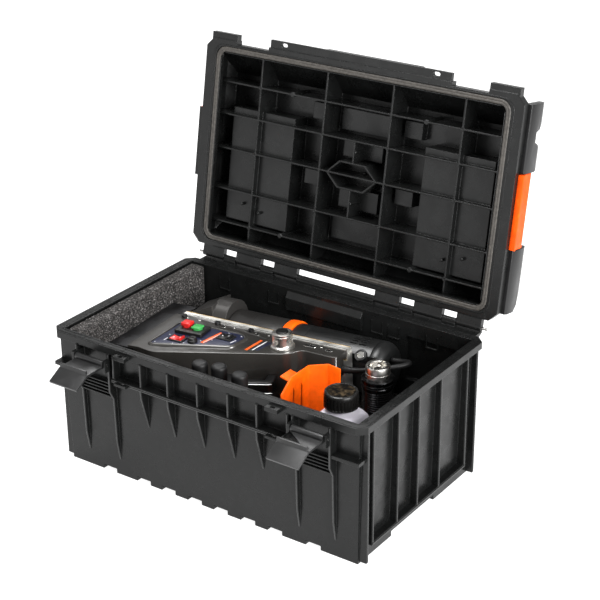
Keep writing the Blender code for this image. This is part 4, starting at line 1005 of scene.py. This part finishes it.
# ---- Oil bottle ----
# A blow-moulded bottle in milky lavender plastic, with soft shoulders and a
# ribbed black screw cap that is dusty on top.
BOTTLE = (0.1950, -0.0920)
BOTTLE_FLOOR = 0.0125
milky, shader = shade("milky", (0.66, 0.63, 0.70), 0.32, gloss=0.4)
shader.inputs["Subsurface Weight"].default_value = 0.25
shader.inputs["Subsurface Radius"].default_value = (0.010, 0.009, 0.010)
grain(milky, shader, clouds(milky, 0.004, 3), 0.0001)
levels = [
    (0.0280, 0.007, BOTTLE_FLOOR), (0.0318, 0.010, 0.0140), (0.0328, 0.011, 0.0170),
    (0.0330, 0.011, 0.0400), (0.0325, 0.011, 0.0440), (0.0330, 0.011, 0.0480), (0.0330, 0.011, 0.1700),
    (0.0326, 0.012, 0.1780), (0.0308, 0.014, 0.1850), (0.0275, 0.016, 0.1905), (0.0230, 0.017, 0.1945),
    (0.0180, 0.0165, 0.1975), (0.0158, 0.0156, 0.1990), (0.0153, 0.0152, 0.2030),
    (0.0153, 0.0152, 0.2198),
]
bm = bmesh.new()
skin(bm, [
    [(x, y, z) for x, y in round_rectangle(half, half, radius, BOTTLE, 8)] for half, radius, z in levels
])
piece("bottle_body", bm, milky, "bottle", "white_plastic", "oil_bottle", sharp=50)

cap_plastic = moulded("cap_plastic", (0.0050, 0.0048, 0.0045), 0.24, gloss=0.4, edge=0.0004)
FLUTES, PER_FLUTE = 30, 8


def fluted(radius, depth, z):
    """A ring with rounded flutes of a depth."""
    ring = []
    for i in range(FLUTES * PER_FLUTE):
        angle = 2 * pi * i / (FLUTES * PER_FLUTE)
        reach = radius - depth * (0.5 + 0.5 * cos(FLUTES * angle)) ** 2
        ring.append((BOTTLE[0] + reach * cos(angle), BOTTLE[1] + reach * sin(angle), z))
    return ring


bm = bmesh.new()
skin(bm, [fluted(r, d, z) for r, d, z in (
    (0.0238, 0, 0.2030), (0.0250, 0, 0.2036), (0.0250, 0, 0.2050), (0.0250, 0.0011, 0.2056),
    (0.0248, 0.0011, 0.2200), (0.0247, 0, 0.2212), (0.0245, 0, 0.2236), (0.0237, 0, 0.2258),
    (0.0222, 0, 0.2268), (0.0208, 0, 0.2268), (0.0202, 0, 0.2260), (0.0100, 0, 0.2259),
    (0.0001, 0, 0.2259),
)])
piece("bottle_screw_cap", bm, cap_plastic, "cap", "trim_plastic", "bottle_cap")
dusty, shader = shade("dusty", (0.05, 0.042, 0.032), 0.7, gloss=0.0)
grain(dusty, shader, clouds(dusty, 0.0008, 5), 0.0002)
tint(dusty, clouds(dusty, 0.007, 6), shader,
     ((0.42, (0.006, 0.0058, 0.0055)), (0.54, (0.020, 0.015, 0.010)), (0.66, (0.055, 0.040, 0.024))))
bm = bmesh.new()
turn(bm, [(0.0200, 0.2256), (0.0199, 0.2262), (0.0192, 0.2264), (0.0001, 0.2264)], at(*BOTTLE), 64)
piece("cap_dust", bm, dusty, "cap", "trim_plastic")

# ---- Chip guard ----
# A folded sheet of orange polycarbonate with two tapered slots and a bent
# tab. It stands loose in the foam until it is hung on the machine.
softened("guard_sheet", "chip_guard", "guard", "orange_plastic", orange_plastic, 0.0006, 2)

# ---- Chuck ----
# A black-oxidised arbor chuck with a ground steel ring and bore on top, and a
# ringed sleeve that slides on it.
CHUCK = (0.1800, 0.0270)
CHUCK_FLOOR = 0.0979
black_oxide = brushed("black_oxide", (0.022, 0.022, 0.023), 0.26, 0.0006, 0.00002, 0.0004)
bm = bmesh.new()
turn(bm, [
    (0.0100, CHUCK_FLOOR), (0.0120, 0.1000), (0.0170, 0.1180), (0.0170, 0.1395), (0.0170, 0.1824),
    (0.0236, 0.1826), (0.0245, 0.1834), (0.0245, 0.1852), (0.0238, 0.1858), (0.0238, 0.1864),
    (0.0245, 0.1870), (0.0245, 0.1916), (0.0236, 0.1928), (0.0198, 0.1934), (0.0182, 0.1940),
], at(*CHUCK), 72)
piece("chuck_barrel", bm, black_oxide, "chuck", "steel", "chuck_body")
bm = bmesh.new()
turn(bm, [
    (0.0070, 0.1936), (0.0182, 0.1936), (0.0182, 0.2000), (0.0176, 0.2004), (0.0176, 0.2012),
    (0.0182, 0.2016), (0.0182, 0.2100), (0.0174, 0.2116), (0.0128, 0.2120), (0.0118, 0.2110),
    (0.0112, 0.2060), (0.0070, 0.2050),
], at(*CHUCK), 72, closed=True)
chuck_ring = piece("chuck_ring", bm, polished, "chuck", "steel")
hole = bmesh.new()
block(hole, (CHUCK[0] - 0.0024, CHUCK[0] + 0.0024), (CHUCK[1] - 0.0150, CHUCK[1] + 0.0150), (0.2050, 0.2130))
carve(chuck_ring, hole)
bm = bmesh.new()
profile = [(0.0174, 0.1402), (0.0226, 0.1402), (0.0235, 0.1412)]
for rib in range(9):
    z = 0.1450 + 0.0036 * rib
    profile += [(0.0235, z), (0.0228, z + 0.0006), (0.0228, z + 0.0012), (0.0235, z + 0.0018)]
profile += [(0.0235, 0.1806), (0.0228, 0.1816), (0.0174, 0.1816)]
turn(bm, profile, at(*CHUCK), 72, closed=True)
piece("chuck_slider", bm, black_oxide, "sleeve", "steel", "chuck_sleeve")

# ---- Feed handles ----
# Three steel rods with soft black grips, stood on end in the foam. The grips
# are domed and slightly waisted.
HANDLES = ((-0.0370, -0.1150), (-0.0070, -0.1080), (0.0330, -0.1120))
for count, (x, y) in enumerate(HANDLES, 1):
    finish_node(f"feed_handle_rod_{count}", ground_steel)
    bm = bmesh.new()
    turn(bm, [
        (0.0049, 0.1100), (0.0092, 0.1100), (0.0104, 0.1108), (0.0116, 0.1140), (0.0120, 0.1180),
        (0.0118, 0.1450), (0.0117, 0.1750), (0.0119, 0.2020), (0.0120, 0.2090), (0.0119, 0.2106),
        (0.0115, 0.2122), (0.0108, 0.2134), (0.0096, 0.2143), (0.0070, 0.2148), (0.0001, 0.2150),
    ], at(x, y), 48)
    piece(f"grip_{count}", bm, rubber, f"handle_{count}", "rubber", f"feed_handle_grip_{count}", sharp=60)

low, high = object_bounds()
